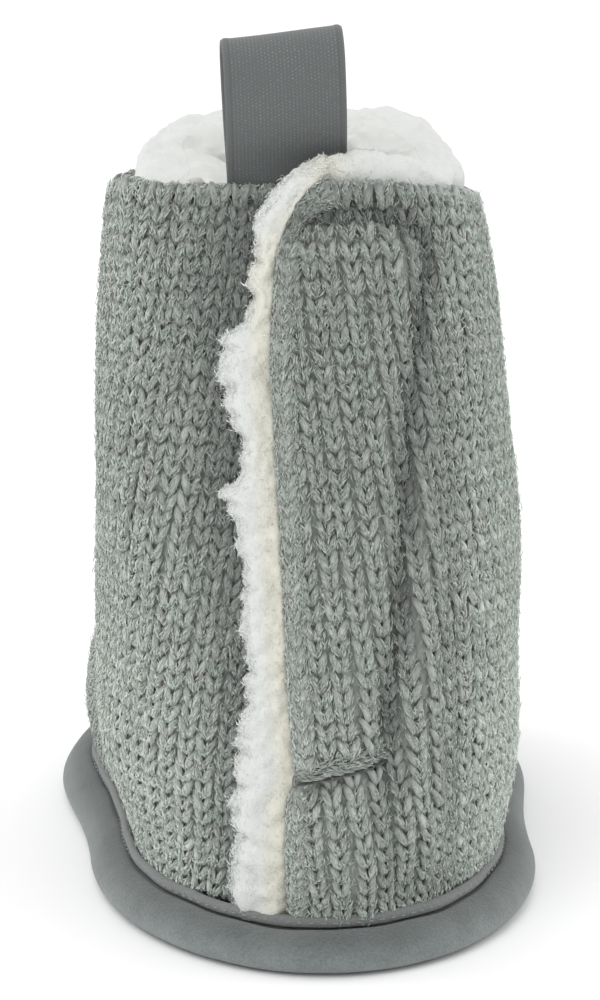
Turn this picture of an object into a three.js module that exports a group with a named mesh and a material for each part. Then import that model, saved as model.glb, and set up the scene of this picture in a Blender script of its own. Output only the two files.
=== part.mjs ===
// A baby's knitted winter bootie: a knit upper lined with deep fleece, lapped and closed at the back,
// on a soft flat sole with a rolled, bound rim. Millimetres, +Z up, +Y from heel to toe, floor at Z = 0.
import * as THREE from "three";

// Driving dimensions of the sole
const SOLE_LENGTH = 118;
const HEEL_WIDTH = 60.6;
const BALL_WIDTH = 66.4;
const HEEL_AT = 42; // from the back of the heel to the heel's widest place
const BALL_AT = 76; // from the back of the heel to the ball's widest place
const WAIST_DIP = 0.4; // how far each side draws in between heel and ball
const SOLE_THICKNESS = 5;
const TOE_SPRING = 2;
const RIM_WIDTH = 8.5;
const BINDING_INSET = 5.7; // from the rim's outer edge to the inner side of the binding's folded edge

// Driving dimensions of the upper
const COLLAR_HEIGHT = 100; // at the back
const COLLAR_DROP = 5; // how much lower the knit's collar edge is at the sides and front
const COLLAR_LEVEL = 15; // round the wall from the middle of the back to where the edge starts to fall
const COLLAR_FALL = 20; // round the wall, over which it falls
const COLLAR_EASE = 30; // the knit's rows follow the fall over this height below the collar
const KNIT = 2; // wall of the knit fabric
const FLEECE = 3.5; // pile of the lining where it stands free
const FLEECE_PRESSED = 2.2; // pile of the lining inside the lapped closure
const FLEECE_SEWN = 0.9; // pile of the lining where the closure is sewn down to the sole
const FLEECE_RIM = 2.6; // how far the pile stands above the knit's collar edge
const FLEECE_STRIP = 5; // pile that shows beside the flap's edge
const LOCK_DEPTH = 1; // how far the pile's locks stray from its mean edge
const STRIP_PUFF = 1.3; // how far the pile swells where it comes out beside the flap
const LOCK_RELIEF = 0.4; // unevenness of the pile's faces
const GAP = 0.3; // clearance between pieces that touch
const FLEECE_GAP = 0.5; // between the knit's inner face and the lining

// The closure: distances round the wall from the middle of the back, positive towards the wearer's right
const FLAP_EDGE = -5.4;
const FLAP_EDGE_AT_SOLE = -3.4;
const FLAP_CORNER_WIDTH = 8;
const FLAP_CORNER_HEIGHT = 13;
const UNDER_END = 10.6; // where the under panel ends, behind the flap
const FLAP_FALL = 7; // round the wall from the under panel's end to where the flap lies flat again
const UNDER_RISE = 13; // round the wall from the pile beside the flap to where the under panel stands full out
const FLAP_LIFT = 2.8;
const SEWN_HEIGHT = 20; // above this height the closure's layers are free of the sole seam

// The pull loop: a folded ribbon sewn between the under panel's knit and lining
const RIBBON_WIDTH = 15;
const RIBBON = 0.9;
const LOOP_HEIGHT = 18.6; // above the collar
const LOOP_TUCK = 4;
const LOOP_OPENING = 7;
const LOOP_ROUND = -2.2; // round the wall from the middle of the back to the ribbon's middle
const LOOP_BEHIND = 1.7; // from the inner face of the under panel's knit to the middle of the sewn ends
const LOOP_SLANT = THREE.MathUtils.degToRad(4.5);
const LOOP_POCKET = 3.6; // how far the lining stands back from the knit behind the ribbon

const INSOLE_THICKNESS = 3;

// Horizontal sections of the upper's outer face. back, front, heelAt and ballAt run from the back of the
// sole, heelHalf and ballHalf are half-widths there, lean is the section's sideways shift, and square is how
// square its back is: 2 is an ellipse, more has a flatter back with tighter corners.
const UPPER_SECTIONS = [
  { z: 5, back: 6.7, front: 111.3, heelAt: 42, ballAt: 76, heelHalf: 23.6, ballHalf: 26.9, lean: 0, square: 2 },
  { z: 14, back: 5.2, front: 110.8, heelAt: 39, ballAt: 76, heelHalf: 25.2, ballHalf: 29.5, lean: 0, square: 2.1 },
  { z: 22, back: 4.4, front: 106.4, heelAt: 36, ballAt: 74, heelHalf: 26.8, ballHalf: 29.2, lean: 0, square: 2.25 },
  { z: 30, back: 4.1, front: 98.6, heelAt: 33, ballAt: 70, heelHalf: 27.5, ballHalf: 27, lean: 0, square: 2.4 },
  { z: 38, back: 4.1, front: 89, heelAt: 31, ballAt: 65, heelHalf: 27.5, ballHalf: 25, lean: -0.2, square: 2.5 },
  { z: 46, back: 4.4, front: 79.4, heelAt: 29, ballAt: 59, heelHalf: 27.4, ballHalf: 24.6, lean: -0.4, square: 2.6 },
  { z: 54, back: 4.9, front: 71.8, heelAt: 27.5, ballAt: 53, heelHalf: 27.1, ballHalf: 24.6, lean: -0.7, square: 2.7 },
  { z: 64, back: 5.6, front: 66.4, heelAt: 26.5, ballAt: 49, heelHalf: 26.5, ballHalf: 24.2, lean: -1.1, square: 2.8 },
  { z: 80, back: 7, front: 62, heelAt: 25, ballAt: 45, heelHalf: 25.3, ballHalf: 22.9, lean: -2, square: 2.9 },
  { z: 100, back: 9, front: 58, heelAt: 24, ballAt: 42, heelHalf: 23, ballHalf: 20.6, lean: -2.8, square: 3 },
  { z: 108, back: 10.4, front: 56.6, heelAt: 24, ballAt: 41, heelHalf: 21.6, ballHalf: 19.4, lean: -3.2, square: 3 },
];
const SECTION_COLUMNS = ["back", "front", "heelAt", "ballAt", "heelHalf", "ballHalf", "lean", "square"];

const SOLE_OUTLINE = {
  back: 0,
  front: SOLE_LENGTH,
  heelAt: HEEL_AT,
  ballAt: BALL_AT,
  heelHalf: HEEL_WIDTH / 2,
  ballHalf: BALL_WIDTH / 2,
  lean: 0,
  square: 2,
};

const PROBE = 0.05; // step for measuring a surface's slope
const OUTLINE_STEPS = 40;
const TOE_SQUARE = 2; // an ellipse
const { lerp, smoothstep, clamp } = THREE.MathUtils;

// Share of the full half-width at a share of the way from the widest place to an outline's end.
function capWidth(share, square) {
  return Math.max(0, 1 - share ** square) ** (1 / square);
}

// Half-width of a foot-shaped outline at a distance from the back of the sole.
function halfWidthAt(outline, along) {
  const { back, front, heelAt, ballAt, heelHalf, ballHalf, square } = outline;
  if (along <= heelAt) return heelHalf * capWidth((heelAt - along) / (heelAt - back), square);
  if (along >= ballAt) return ballHalf * capWidth((along - ballAt) / (front - ballAt), TOE_SQUARE);
  const share = (along - heelAt) / (ballAt - heelAt);
  return lerp(heelHalf, ballHalf, smoothstep(share, 0, 1)) - WAIST_DIP * Math.sin(Math.PI * share) ** 2;
}

// A closed curve round an outline, from the middle of the back by the wearer's right to the toe and on.
function outlineCurve(outline, height) {
  const points = [];
  for (let step = 0; step < OUTLINE_STEPS; step++) {
    const turn = (2 * Math.PI * step) / OUTLINE_STEPS;
    const along = lerp(outline.back, outline.front, (1 - Math.cos(turn)) / 2);
    const side = turn <= Math.PI ? 1 : -1;
    const across = outline.lean + side * halfWidthAt(outline, along);
    points.push(new THREE.Vector3(across, along - SOLE_LENGTH / 2, height));
  }
  return new THREE.CatmullRomCurve3(points, true, "centripetal");
}

// The upper's outer face, worked out at any height from the table of sections.
const sectionTable = new THREE.CubicInterpolant(
  UPPER_SECTIONS.map((row) => row.z),
  UPPER_SECTIONS.flatMap((row) => SECTION_COLUMNS.map((column) => row[column])),
  SECTION_COLUMNS.length,
);
const sectionCurves = new Map();

function sectionCurve(height) {
  if (!sectionCurves.has(height)) {
    const values = sectionTable.evaluate(height);
    const outline = Object.fromEntries(SECTION_COLUMNS.map((column, index) => [column, values[index]]));
    sectionCurves.set(height, outlineCurve(outline, height));
  }
  return sectionCurves.get(height);
}

function curvePoint(curve, round) {
  const length = curve.getLength();
  return curve.getPointAt(THREE.MathUtils.euclideanModulo(round / length, 1));
}

// The soft sole lifts a little from the ball to the toe, and everything on it follows.
function liftToe(point) {
  const along = point.y + SOLE_LENGTH / 2;
  const share = clamp((along - BALL_AT) / (SOLE_LENGTH - BALL_AT), 0, 1);
  point.z += TOE_SPRING * share ** 2;
  return point;
}

// A point off the upper's outer face: round is measured from the middle of the back, offset along the normal.
function wallPoint(round, height, offset) {
  const here = curvePoint(sectionCurve(height), round);
  const beside = curvePoint(sectionCurve(height), round + PROBE).sub(here);
  const above = curvePoint(sectionCurve(height + PROBE), round).sub(here);
  const normal = beside.cross(above).normalize();
  return liftToe(here.addScaledVector(normal, offset));
}

// Where the under panel has dipped clear of the flap and the pile beside it.
const UNDER_FULL = FLAP_EDGE - FLEECE_STRIP - LOCK_DEPTH - GAP;

// How free the closure's layers are of the sole seam: 0 at the sole, 1 above it.
function freeOfSeam(height) {
  return smoothstep(height, SOLE_THICKNESS, SEWN_HEIGHT);
}

// The flap's edge, with its rounded corner at the collar.
function flapEdge(height) {
  const below = COLLAR_HEIGHT - height;
  const corner = clamp(1 - below / FLAP_CORNER_HEIGHT, 0, 1);
  const straight = lerp(FLAP_EDGE_AT_SOLE, FLAP_EDGE, smoothstep(height, 0, COLLAR_HEIGHT / 2));
  return straight + FLAP_CORNER_WIDTH * (1 - Math.sqrt(1 - corner ** 2));
}

function pressedFleece(height) {
  return lerp(FLEECE_SEWN, FLEECE_PRESSED, freeOfSeam(height));
}

// How far the wall's outer face stands off the plain section: up over the lap, and in under it.
function lapOffset(round, height, girth) {
  const lift = FLAP_LIFT * freeOfSeam(height);
  const dip = lift - (KNIT + FLEECE_GAP + pressedFleece(height) + GAP);
  const onFlap = 1 - smoothstep(round, UNDER_END + 2 * GAP, UNDER_END + FLAP_FALL);
  const onUnder = smoothstep(round, girth + UNDER_FULL - UNDER_RISE, girth + UNDER_FULL);
  return lift * onFlap + dip * onUnder;
}

// How far the knit's collar edge lies below its height at the back.
function collarDrop(round, girth) {
  const fromBack = Math.min(Math.abs(round), Math.abs(girth - round));
  return COLLAR_DROP * smoothstep(fromBack, COLLAR_LEVEL, COLLAR_LEVEL + COLLAR_FALL);
}

// Stations round the wall from the flap's edge to the under panel's end, closest together at the closure.
function stationsRound(height, girth) {
  const spans = [
    { from: flapEdge(Math.min(height, COLLAR_HEIGHT)), to: UNDER_END + FLAP_FALL, count: 9 },
    { from: UNDER_END + FLAP_FALL, to: girth + UNDER_FULL - UNDER_RISE, count: 32 },
    { from: girth + UNDER_FULL - UNDER_RISE, to: girth + UNDER_END, count: 11 },
  ];
  const stations = spans.flatMap(({ from, to, count }) =>
    Array.from({ length: count }, (_, index) => lerp(from, to, index / count)),
  );
  return [...stations, girth + UNDER_END];
}

// A geometry from rings of equal length: each ring joins the next. Caps close the first and last ring,
// each a ladder of quads between the ring's outward half and its return half.
function loftGeometry(rings, { closedPath = false, capped = false } = {}) {
  const size = rings[0].length;
  const index = [];
  const quad = (a, b, c, d) => index.push(a, b, c, a, c, d);
  const spans = closedPath ? rings.length : rings.length - 1;
  for (let span = 0; span < spans; span++) {
    const low = span * size;
    const high = ((span + 1) % rings.length) * size;
    for (let step = 0; step < size; step++) {
      const next = (step + 1) % size;
      quad(low + step, low + next, high + next, high + step);
    }
  }
  if (capped) {
    const top = (rings.length - 1) * size;
    for (let step = 0; step < size / 2 - 1; step++) {
      const opposite = size - 1 - step;
      quad(step, opposite, opposite - 1, step + 1);
      quad(top + step, top + step + 1, top + opposite - 1, top + opposite);
    }
  }
  const positions = rings.flat().flatMap((point) => point.toArray());
  const geometry = new THREE.BufferGeometry();
  geometry.setAttribute("position", new THREE.Float32BufferAttribute(positions, 3));
  geometry.setIndex(index);
  geometry.computeVertexNormals();
  return geometry;
}

// A ring of one wall: out along its outer face and back along its inner face. place gives each station's
// distance round and height.
function wallRing(stations, place, outer, inner) {
  const face = (offset) => stations.map((round) => wallPoint(...place(round), offset(round)));
  return [...face(outer), ...face(inner).reverse()];
}

function makeMesh(name, geometry, material) {
  const mesh = new THREE.Mesh(geometry, material);
  mesh.name = name;
  return mesh;
}

// Materials
const heatherKnit = new THREE.MeshStandardMaterial({ color: 0x8d9290, roughness: 0.95, metalness: 0 });
const creamFleece = new THREE.MeshStandardMaterial({ color: 0xeeece4, roughness: 1, metalness: 0 });
const greyMicrofibre = new THREE.MeshStandardMaterial({ color: 0x767c80, roughness: 0.8, metalness: 0 });
const darkMicrofibre = new THREE.MeshStandardMaterial({ color: 0x62676b, roughness: 0.85, metalness: 0 });
const greyRibbon = new THREE.MeshStandardMaterial({ color: 0x5c6164, roughness: 0.6, metalness: 0 });

// Heights of the wall's rows, from just above the sole to the collar
const FOOT_ROWS = [8.5, 12, 16, 20, 24, 28, 32, 36, 40, 45, 49];
const SHAFT_ROWS = [53, 58, 66, 77, 87, 92, 95.5, 98, COLLAR_HEIGHT];
const WALL_ROWS = [...FOOT_ROWS, ...SHAFT_ROWS];

// The knit upper: one wall, lapped at the back, open at the collar and over the sole
function makeUpper() {
  const rings = [SOLE_THICKNESS + 2 * GAP, ...WALL_ROWS].map((height) => {
    const girth = sectionCurve(height).getLength();
    const outer = (round) => lapOffset(round, height, girth);
    const eased = smoothstep(height, COLLAR_HEIGHT - COLLAR_EASE, COLLAR_HEIGHT);
    const fallen = (round) => {
      const lower = height - eased * collarDrop(round, girth);
      const wider = round > girth / 2 ? sectionCurve(lower).getLength() - girth : 0;
      return [round + wider, lower];
    };
    return wallRing(stationsRound(height, girth), fallen, outer, (round) => outer(round) - KNIT);
  });
  return makeMesh("upper", loftGeometry(rings, { capped: true }), heatherKnit);
}

// Uneven locks of the fleece's pile, between -1 and 1.
function pileLocks(round, height) {
  return 0.5 * Math.sin(round * 0.62 + height * 0.31) + 0.5 * Math.sin(round * 0.27 - height * 0.57 + 1.3);
}

// How far the lining stands back from the knit behind the pull loop's sewn ends.
function loopPocket(round, height, girth) {
  const fromLoop = Math.abs(round - girth - LOOP_ROUND);
  const across = 1 - smoothstep(fromLoop, RIBBON_WIDTH / 2 + 2, RIBBON_WIDTH / 2 + 7);
  const low = COLLAR_HEIGHT - LOOP_TUCK;
  return LOOP_POCKET * across * smoothstep(height, low - 12, low - 3);
}

// The fleece lining: a pile wall inside the knit that stands above the collar and out beside the flap's edge
function makeLining() {
  const rimTop = COLLAR_HEIGHT + FLEECE_RIM;
  const rows = [SOLE_THICKNESS + 4 * GAP, ...WALL_ROWS, rimTop - 1, rimTop];
  const stripShares = [1, 0.8, 0.55, 0.3];
  const rings = rows.map((height) => {
    const girth = sectionCurve(height).getLength();
    const knitStations = stationsRound(height, girth);
    const edge = knitStations[0];
    const stripWidth = FLEECE_STRIP + LOCK_DEPTH * pileLocks(0, 2.4 * height);
    const strip = stripShares.map((share) => edge - stripWidth * share);
    const stations = [...strip, edge - GAP, ...knitStations.slice(0, -1)];
    const aboveKnit = smoothstep(height, COLLAR_HEIGHT, rimTop);
    const behindKnit = (round) => {
      return lapOffset(round, height, girth) - KNIT - FLEECE_GAP - loopPocket(round, height, girth);
    };
    const outer = (round) => {
      const puff = smoothstep(edge - round, GAP, FLEECE_STRIP / 2) * freeOfSeam(height);
      const drop = collarDrop(round, girth);
      const overEdge = smoothstep(height - COLLAR_HEIGHT + drop, FLEECE_GAP, FLEECE) * (drop / COLLAR_DROP);
      const swell = puff * (STRIP_PUFF + LOCK_RELIEF * pileLocks(round, height)) + overEdge * KNIT;
      return behindKnit(round) + swell - aboveKnit;
    };
    const inner = (round) => {
      const lapped = 1 - smoothstep(round, UNDER_END + GAP, UNDER_END + FLAP_FALL);
      const pile = lerp(FLEECE, pressedFleece(height), lapped);
      const unevenness = (1 - lapped) * (LOCK_RELIEF * pileLocks(round, height) + LOCK_DEPTH * aboveKnit);
      const thinned = loopPocket(round, height, girth) / 2;
      return behindKnit(round) - pile + unevenness + thinned;
    };
    const ring = wallRing(stations, (round) => [round, height], outer, inner);
    ring.forEach((point, step) => {
      const round = stations[Math.min(step, ring.length - 1 - step)];
      point.z += aboveKnit * LOCK_RELIEF * pileLocks(1.6 * round, 0);
    });
    return ring;
  });
  return makeMesh("lining", loftGeometry(rings, { capped: true }), creamFleece);
}

// A closed band round the sole: each section point is { inset, z }, inset inwards from the sole's outline.
function makeBand(name, section, stationCount, material) {
  const curve = outlineCurve(SOLE_OUTLINE, 0);
  const rings = Array.from({ length: stationCount }, (_, station) => {
    const share = station / stationCount;
    const point = curve.getPointAt(share);
    const tangent = curve.getTangentAt(share);
    const outward = new THREE.Vector3(tangent.y, -tangent.x, 0);
    return section.map(({ inset, z }) => {
      const place = point.clone().addScaledVector(outward, -inset);
      return liftToe(place.setZ(z));
    });
  });
  return makeMesh(name, loftGeometry(rings, { closedPath: true }), material);
}

// The rolled rim: a soft padded edge in microfibre, with a flat seat under the upper
function makeRim() {
  const seat = SOLE_THICKNESS - 0.1;
  const section = [
    { inset: RIM_WIDTH, z: 0.6 },
    { inset: RIM_WIDTH, z: seat },
    { inset: 6, z: seat },
    { inset: 5, z: SOLE_THICKNESS - 0.2 },
    { inset: 4.1, z: SOLE_THICKNESS + 0.3 },
    { inset: 2.9, z: SOLE_THICKNESS + 0.15 },
    { inset: 1.5, z: SOLE_THICKNESS - 0.6 },
    { inset: 0.4, z: SOLE_THICKNESS - 1.9 },
    { inset: 0, z: 2.2 },
    { inset: 0.5, z: 1 },
    { inset: 1.8, z: 0.25 },
    { inset: 4, z: 0.15 },
  ];
  return makeBand("rim", section, 56, greyMicrofibre);
}

// The binding's folded edge, standing against the foot of the knit
function makeBindingEdge() {
  const inner = BINDING_INSET;
  const section = [
    { inset: inner, z: SOLE_THICKNESS + 0.3 },
    { inset: inner - 0.3, z: SOLE_THICKNESS + 1.6 },
    { inset: inner - 0.8, z: SOLE_THICKNESS + 1.9 },
    { inset: inner - 1.3, z: SOLE_THICKNESS + 1.5 },
    { inset: inner - 1.2, z: SOLE_THICKNESS + 0.7 },
    { inset: inner - 0.7, z: SOLE_THICKNESS + 0.25 },
  ];
  return makeBand("binding_edge", section, 56, darkMicrofibre);
}

// A flat pad of the sole's shape, inset from its outline, with softened edges.
function makePad(name, inset, low, thickness, edge, material) {
  const curve = outlineCurve(SOLE_OUTLINE, 0);
  const stationCount = 48;
  const levels = [
    { z: low, draw: edge },
    { z: low + edge, draw: 0 },
    { z: low + thickness - edge, draw: 0 },
    { z: low + thickness, draw: edge },
  ];
  const rings = levels.map(({ z, draw }) =>
    Array.from({ length: stationCount }, (_, station) => {
      const share = (station + 0.5) / stationCount;
      const tangent = curve.getTangentAt(share);
      const inward = new THREE.Vector3(-tangent.y, tangent.x, 0);
      return liftToe(curve.getPointAt(share).addScaledVector(inward, inset + draw).setZ(z));
    }),
  );
  return makeMesh(name, loftGeometry(rings, { capped: true }), material);
}

// The pull loop: a ribbon folded into a teardrop, its two ends sewn together in the collar seam
function makePullLoop() {
  const half = LOOP_OPENING / 2;
  const seam = RIBBON; // both layers of the sewn ends, either side of the loop's middle
  const neck = 2.5; // from the collar to where the two layers part
  const crown = LOOP_HEIGHT - half - RIBBON;
  const outline = new THREE.Shape();
  outline.moveTo(-seam, -LOOP_TUCK);
  outline.lineTo(seam, -LOOP_TUCK);
  outline.lineTo(seam, neck - 1);
  outline.bezierCurveTo(seam, neck + 3, half + RIBBON, neck + 4, half + RIBBON, crown);
  outline.absarc(0, crown, half + RIBBON, 0, Math.PI, false);
  outline.bezierCurveTo(-half - RIBBON, neck + 4, -seam, neck + 3, -seam, neck - 1);
  outline.closePath();
  const opening = new THREE.Path();
  opening.moveTo(0, neck);
  opening.bezierCurveTo(0, neck + 3, half, neck + 4.5, half, crown);
  opening.absarc(0, crown, half, 0, Math.PI, false);
  opening.bezierCurveTo(-half, neck + 4.5, 0, neck + 3, 0, neck);
  outline.holes.push(opening);
  const geometry = new THREE.ExtrudeGeometry(outline, {
    depth: RIBBON_WIDTH,
    bevelEnabled: false,
    curveSegments: 8,
  });
  geometry.translate(0, 0, -RIBBON_WIDTH / 2);
  const depthwise = new THREE.Vector3(0, 1, 0);
  const upright = new THREE.Vector3(0, 0, 1);
  const sideways = new THREE.Vector3(1, 0, 0);
  geometry.applyMatrix4(new THREE.Matrix4().makeBasis(depthwise, upright, sideways));
  geometry.rotateY(-LOOP_SLANT);
  const girth = sectionCurve(COLLAR_HEIGHT).getLength();
  const knitInside = lapOffset(girth + LOOP_ROUND, COLLAR_HEIGHT, girth) - KNIT;
  const foot = wallPoint(LOOP_ROUND, COLLAR_HEIGHT, knitInside - LOOP_BEHIND);
  const facing = wallPoint(LOOP_ROUND, COLLAR_HEIGHT, knitInside).sub(foot);
  geometry.rotateZ(Math.atan2(facing.x, -facing.y));
  geometry.translate(foot.x, foot.y, COLLAR_HEIGHT);
  return makeMesh("pull_loop", geometry, greyRibbon);
}

const OUTSOLE_INSET = RIM_WIDTH + GAP;
const INSOLE_INSET = 16.4; // clear of the knit, the lining and the closure's layers

const bootie = new THREE.Group();
bootie.add(
  makePad("outsole", OUTSOLE_INSET, 0, SOLE_THICKNESS, 0.8, darkMicrofibre),
  makeRim(),
  makeBindingEdge(),
  makePad("insole", INSOLE_INSET, SOLE_THICKNESS + GAP, INSOLE_THICKNESS, 0.8, creamFleece),
  makeUpper(),
  makeLining(),
  makePullLoop(),
);

export default bootie;
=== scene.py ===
"""A baby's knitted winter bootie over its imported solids: knit stitches, pile fleece, bound rim and ribbon."""

import math

import bpy
import numpy as np
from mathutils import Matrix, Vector, noise


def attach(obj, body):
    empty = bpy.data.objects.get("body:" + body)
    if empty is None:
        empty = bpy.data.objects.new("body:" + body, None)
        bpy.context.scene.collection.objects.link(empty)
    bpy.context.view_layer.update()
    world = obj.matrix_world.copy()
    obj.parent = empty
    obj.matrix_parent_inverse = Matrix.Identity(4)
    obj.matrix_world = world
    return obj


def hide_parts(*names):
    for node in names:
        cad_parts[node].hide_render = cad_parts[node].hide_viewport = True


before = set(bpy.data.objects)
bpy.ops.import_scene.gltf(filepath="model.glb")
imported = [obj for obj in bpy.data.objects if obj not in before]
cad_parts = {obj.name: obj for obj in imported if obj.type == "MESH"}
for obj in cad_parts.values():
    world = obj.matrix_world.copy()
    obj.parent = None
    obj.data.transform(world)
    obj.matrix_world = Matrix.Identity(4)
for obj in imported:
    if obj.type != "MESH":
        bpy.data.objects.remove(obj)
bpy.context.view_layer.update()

bl_info = {
    "name": "Knitted Baby Bootie",
    "version": (1, 0, 0),
    "blender": (4, 5, 0),
    "location": "View3D > Sidebar > Bootie",
    "description": "Makes a grey knitted baby bootie lined with pile fleece, piece by piece",
    "category": "Object",
}

MM = 0.001
BODY = "root"

# The bootie's form, in millimetres. It follows the solids, moved a little where the photo shows it otherwise.
# Heights run up from the floor, "along" runs from the back of the sole to the toe, and "round" runs round the
# wall from the middle of the back, positive to the wearer's right.
SOLE_LENGTH = 118.0
HEEL_WIDTH = 60.6
BALL_WIDTH = 66.4
HEEL_AT = 42.0
BALL_AT = 76.0
WAIST_DIP = 0.4  # how far each side draws in between heel and ball
SOLE_THICKNESS = 5.0
TOE_SPRING = 2.0
COLLAR_HEIGHT = 100.0  # at the back
KNIT = 2.0  # wall of the knit
FLEECE = 3.5  # pile where it stands free
FLEECE_PRESSED = 2.2  # pile inside the lap
FLEECE_SEWN = 0.9  # pile where the lap is sewn down to the sole
FLEECE_RIM = 2.6  # how far the pile stands above the collar
FLEECE_ROLL = 3.2  # height over which its top rounds over
OVER_EDGE = 0.5  # how far it swells over the knit's top edge
FLEECE_DEEP = 5.5  # more pile inside the collar at its sides
FLEECE_FRONT = 4.0  # more still at the front
FLEECE_LEFT = 4.5  # and on the left side
PILE_LOW = 78.0  # height where that extra pile starts
PILE_FULL = 98.0  # and where it is full
STRIP_PUFF = 2.1  # how far the pile swells beside the flap's edge
LAYER_GAP = 0.5  # between knit and fleece
COLLAR_BACK = 0.3  # how far the knit's edge lies below the collar's height at the back
COLLAR_DROP = 5.0  # and at the sides and front
COLLAR_LEVEL = 23.0  # round the wall to where the edge starts to fall on the left
COLLAR_FALL = 20.0  # round the wall, over which it falls
COLLAR_LEVEL_RIGHT = 8.0  # the same two on the right
COLLAR_FALL_RIGHT = 36.0
COLLAR_EASE = 30.0  # height over which the knit's rows follow the fall
UNDER_END = 10.6  # where the under panel ends, behind the flap
FLAP_FALL = 7.0  # from there to where the flap lies flat again
UNDER_FULL = -11.7  # where the under panel has dipped clear of the flap
UNDER_RISE = 13.0  # from there to where it stands full out
FLAP_LIFT = 2.8  # how far the flap stands off the plain wall
SEWN_HEIGHT = 20.0  # above it the lap is free of the sole's seam
OUTSOLE_INSET = 8.8  # from the sole's edge
INSOLE_INSET = 12.6  # from there too, so that the footbed reaches the lining
INSOLE_THICKNESS = 3.0
RIBBON_WIDTH = 15.0
RIBBON = 0.9  # thickness of the ribbon
LOOP_HEIGHT = 19.5  # above the collar
LOOP_TUCK = 4.0  # below the collar
LOOP_OPENING = 7.0
LOOP_ROUND = -1.2  # round the wall to the ribbon's middle
LOOP_BEHIND = 1.7  # from the knit's inner face to the middle of the sewn ends
LOOP_SLANT = math.radians(6)
LOOP_LEAN = math.radians(2.5)
LOOP_POCKET = 3.6  # how far the lining stands back behind the ribbon
FLOOR_HALF = 2500.0  # half the studio floor's width
HEEL_PLACE = -25.0  # where on the bootie's length the camera's reach is measured from

# Height, back, front, heel's place, ball's place, heel's half-width, ball's half-width, sideways lean, and
# how square the back is (2 is an ellipse)
UPPER_SECTIONS = np.array(
    [
        (5, 6.7, 111.3, 42, 76, 23.6, 26.9, 0, 2),
        (14, 5.2, 110.8, 39, 76, 25.2, 28.7, -0.26, 2.1),
        (22, 4.4, 106.4, 36, 74, 26.8, 28.1, -0.8, 2.25),
        (30, 4.1, 98.6, 33, 70, 27.2, 26.1, -1.24, 2.4),
        (38, 4.1, 89, 31, 65, 27, 24.4, -1.5, 2.5),
        (46, 4.4, 79.4, 29, 59, 26.8, 24.1, -1.72, 2.6),
        (54, 4.9, 71.8, 27.5, 53, 26.5, 24.1, -2.02, 2.7),
        (64, 5.6, 66.4, 26.5, 49, 25.9, 23.7, -2.42, 2.8),
        (80, 7, 62, 25, 45, 24.8, 22.4, -3.32, 2.9),
        (100, 9, 58, 24, 42, 22.5, 20.2, -4.12, 3),
        (108, 10.4, 56.6, 24, 41, 21.2, 19, -4.52, 3),
    ]
)
SOLE_SECTION = np.array([0, SOLE_LENGTH, HEEL_AT, BALL_AT, HEEL_WIDTH / 2, BALL_WIDTH / 2, 0, 2])


def ramp(value, low, high):
    """A smooth step from 0 at low to 1 at high."""
    share = np.clip((value - low) / (high - low), 0, 1)
    return share * share * (3 - 2 * share)


def mix(first, second, share):
    """A value between two values."""
    return first + (second - first) * share


def section_at(height):
    """The upper's section at one height, by cubic steps between the table's rows."""
    heights, values = UPPER_SECTIONS[:, 0], UPPER_SECTIONS[:, 1:]
    slopes = np.gradient(values, heights, axis=0)
    row = int(np.clip(np.searchsorted(heights, height) - 1, 0, len(heights) - 2))
    span = heights[row + 1] - heights[row]
    t = (height - heights[row]) / span
    start, end = values[row], values[row + 1]
    lean_in, lean_out = slopes[row] * span, slopes[row + 1] * span
    return (
        (2 * t**3 - 3 * t**2 + 1) * start
        + (t**3 - 2 * t**2 + t) * lean_in
        + (3 * t**2 - 2 * t**3) * end
        + (t**3 - t**2) * lean_out
    )


def half_width(section, along):
    """Half-width of a foot-shaped section at distances from the back of the sole."""
    back, front, heel_at, ball_at, heel, ball, _, square = section
    share = np.clip((heel_at - along) / (heel_at - back), 0, 1)
    heel_cap = heel * (1 - share**square) ** (1 / square)
    toe_cap = ball * np.sqrt(np.clip(1 - ((along - ball_at) / (front - ball_at)) ** 2, 0, None))
    share = np.clip((along - heel_at) / (ball_at - heel_at), 0, 1)
    waist = mix(heel, ball, ramp(share, 0, 1)) - WAIST_DIP * np.sin(np.pi * share) ** 2
    return np.where(along <= heel_at, heel_cap, np.where(along >= ball_at, toe_cap, waist))


def half_outline(section):
    """Points of a section's right half from back to front, with their distance round."""
    turns = np.linspace(0, np.pi, 721)
    along = section[0] + (section[1] - section[0]) * (1 - np.cos(turns)) / 2
    across = half_width(section, along)
    steps = np.hypot(np.diff(along), np.diff(across))
    return across, along, run_lengths(steps)


def read_table(table, row, column):
    """A table's value between its rows and columns."""
    row = np.clip(row, 0, table.shape[0] - 1.001)
    column = np.clip(column, 0, table.shape[1] - 1.001)
    r, c = row.astype(int), column.astype(int)
    wide = (..., *[None] * (table.ndim - 2))
    across, up = (column - c)[wide], (row - r)[wide]
    low = mix(table[r, c], table[r, c + 1], across)
    high = mix(table[r + 1, c], table[r + 1, c + 1], across)
    return mix(low, high, up)


def run_lengths(steps):
    """How far along a line each of its points lies, from the steps between them."""
    return np.concatenate([[0], np.cumsum(steps)])


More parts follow.
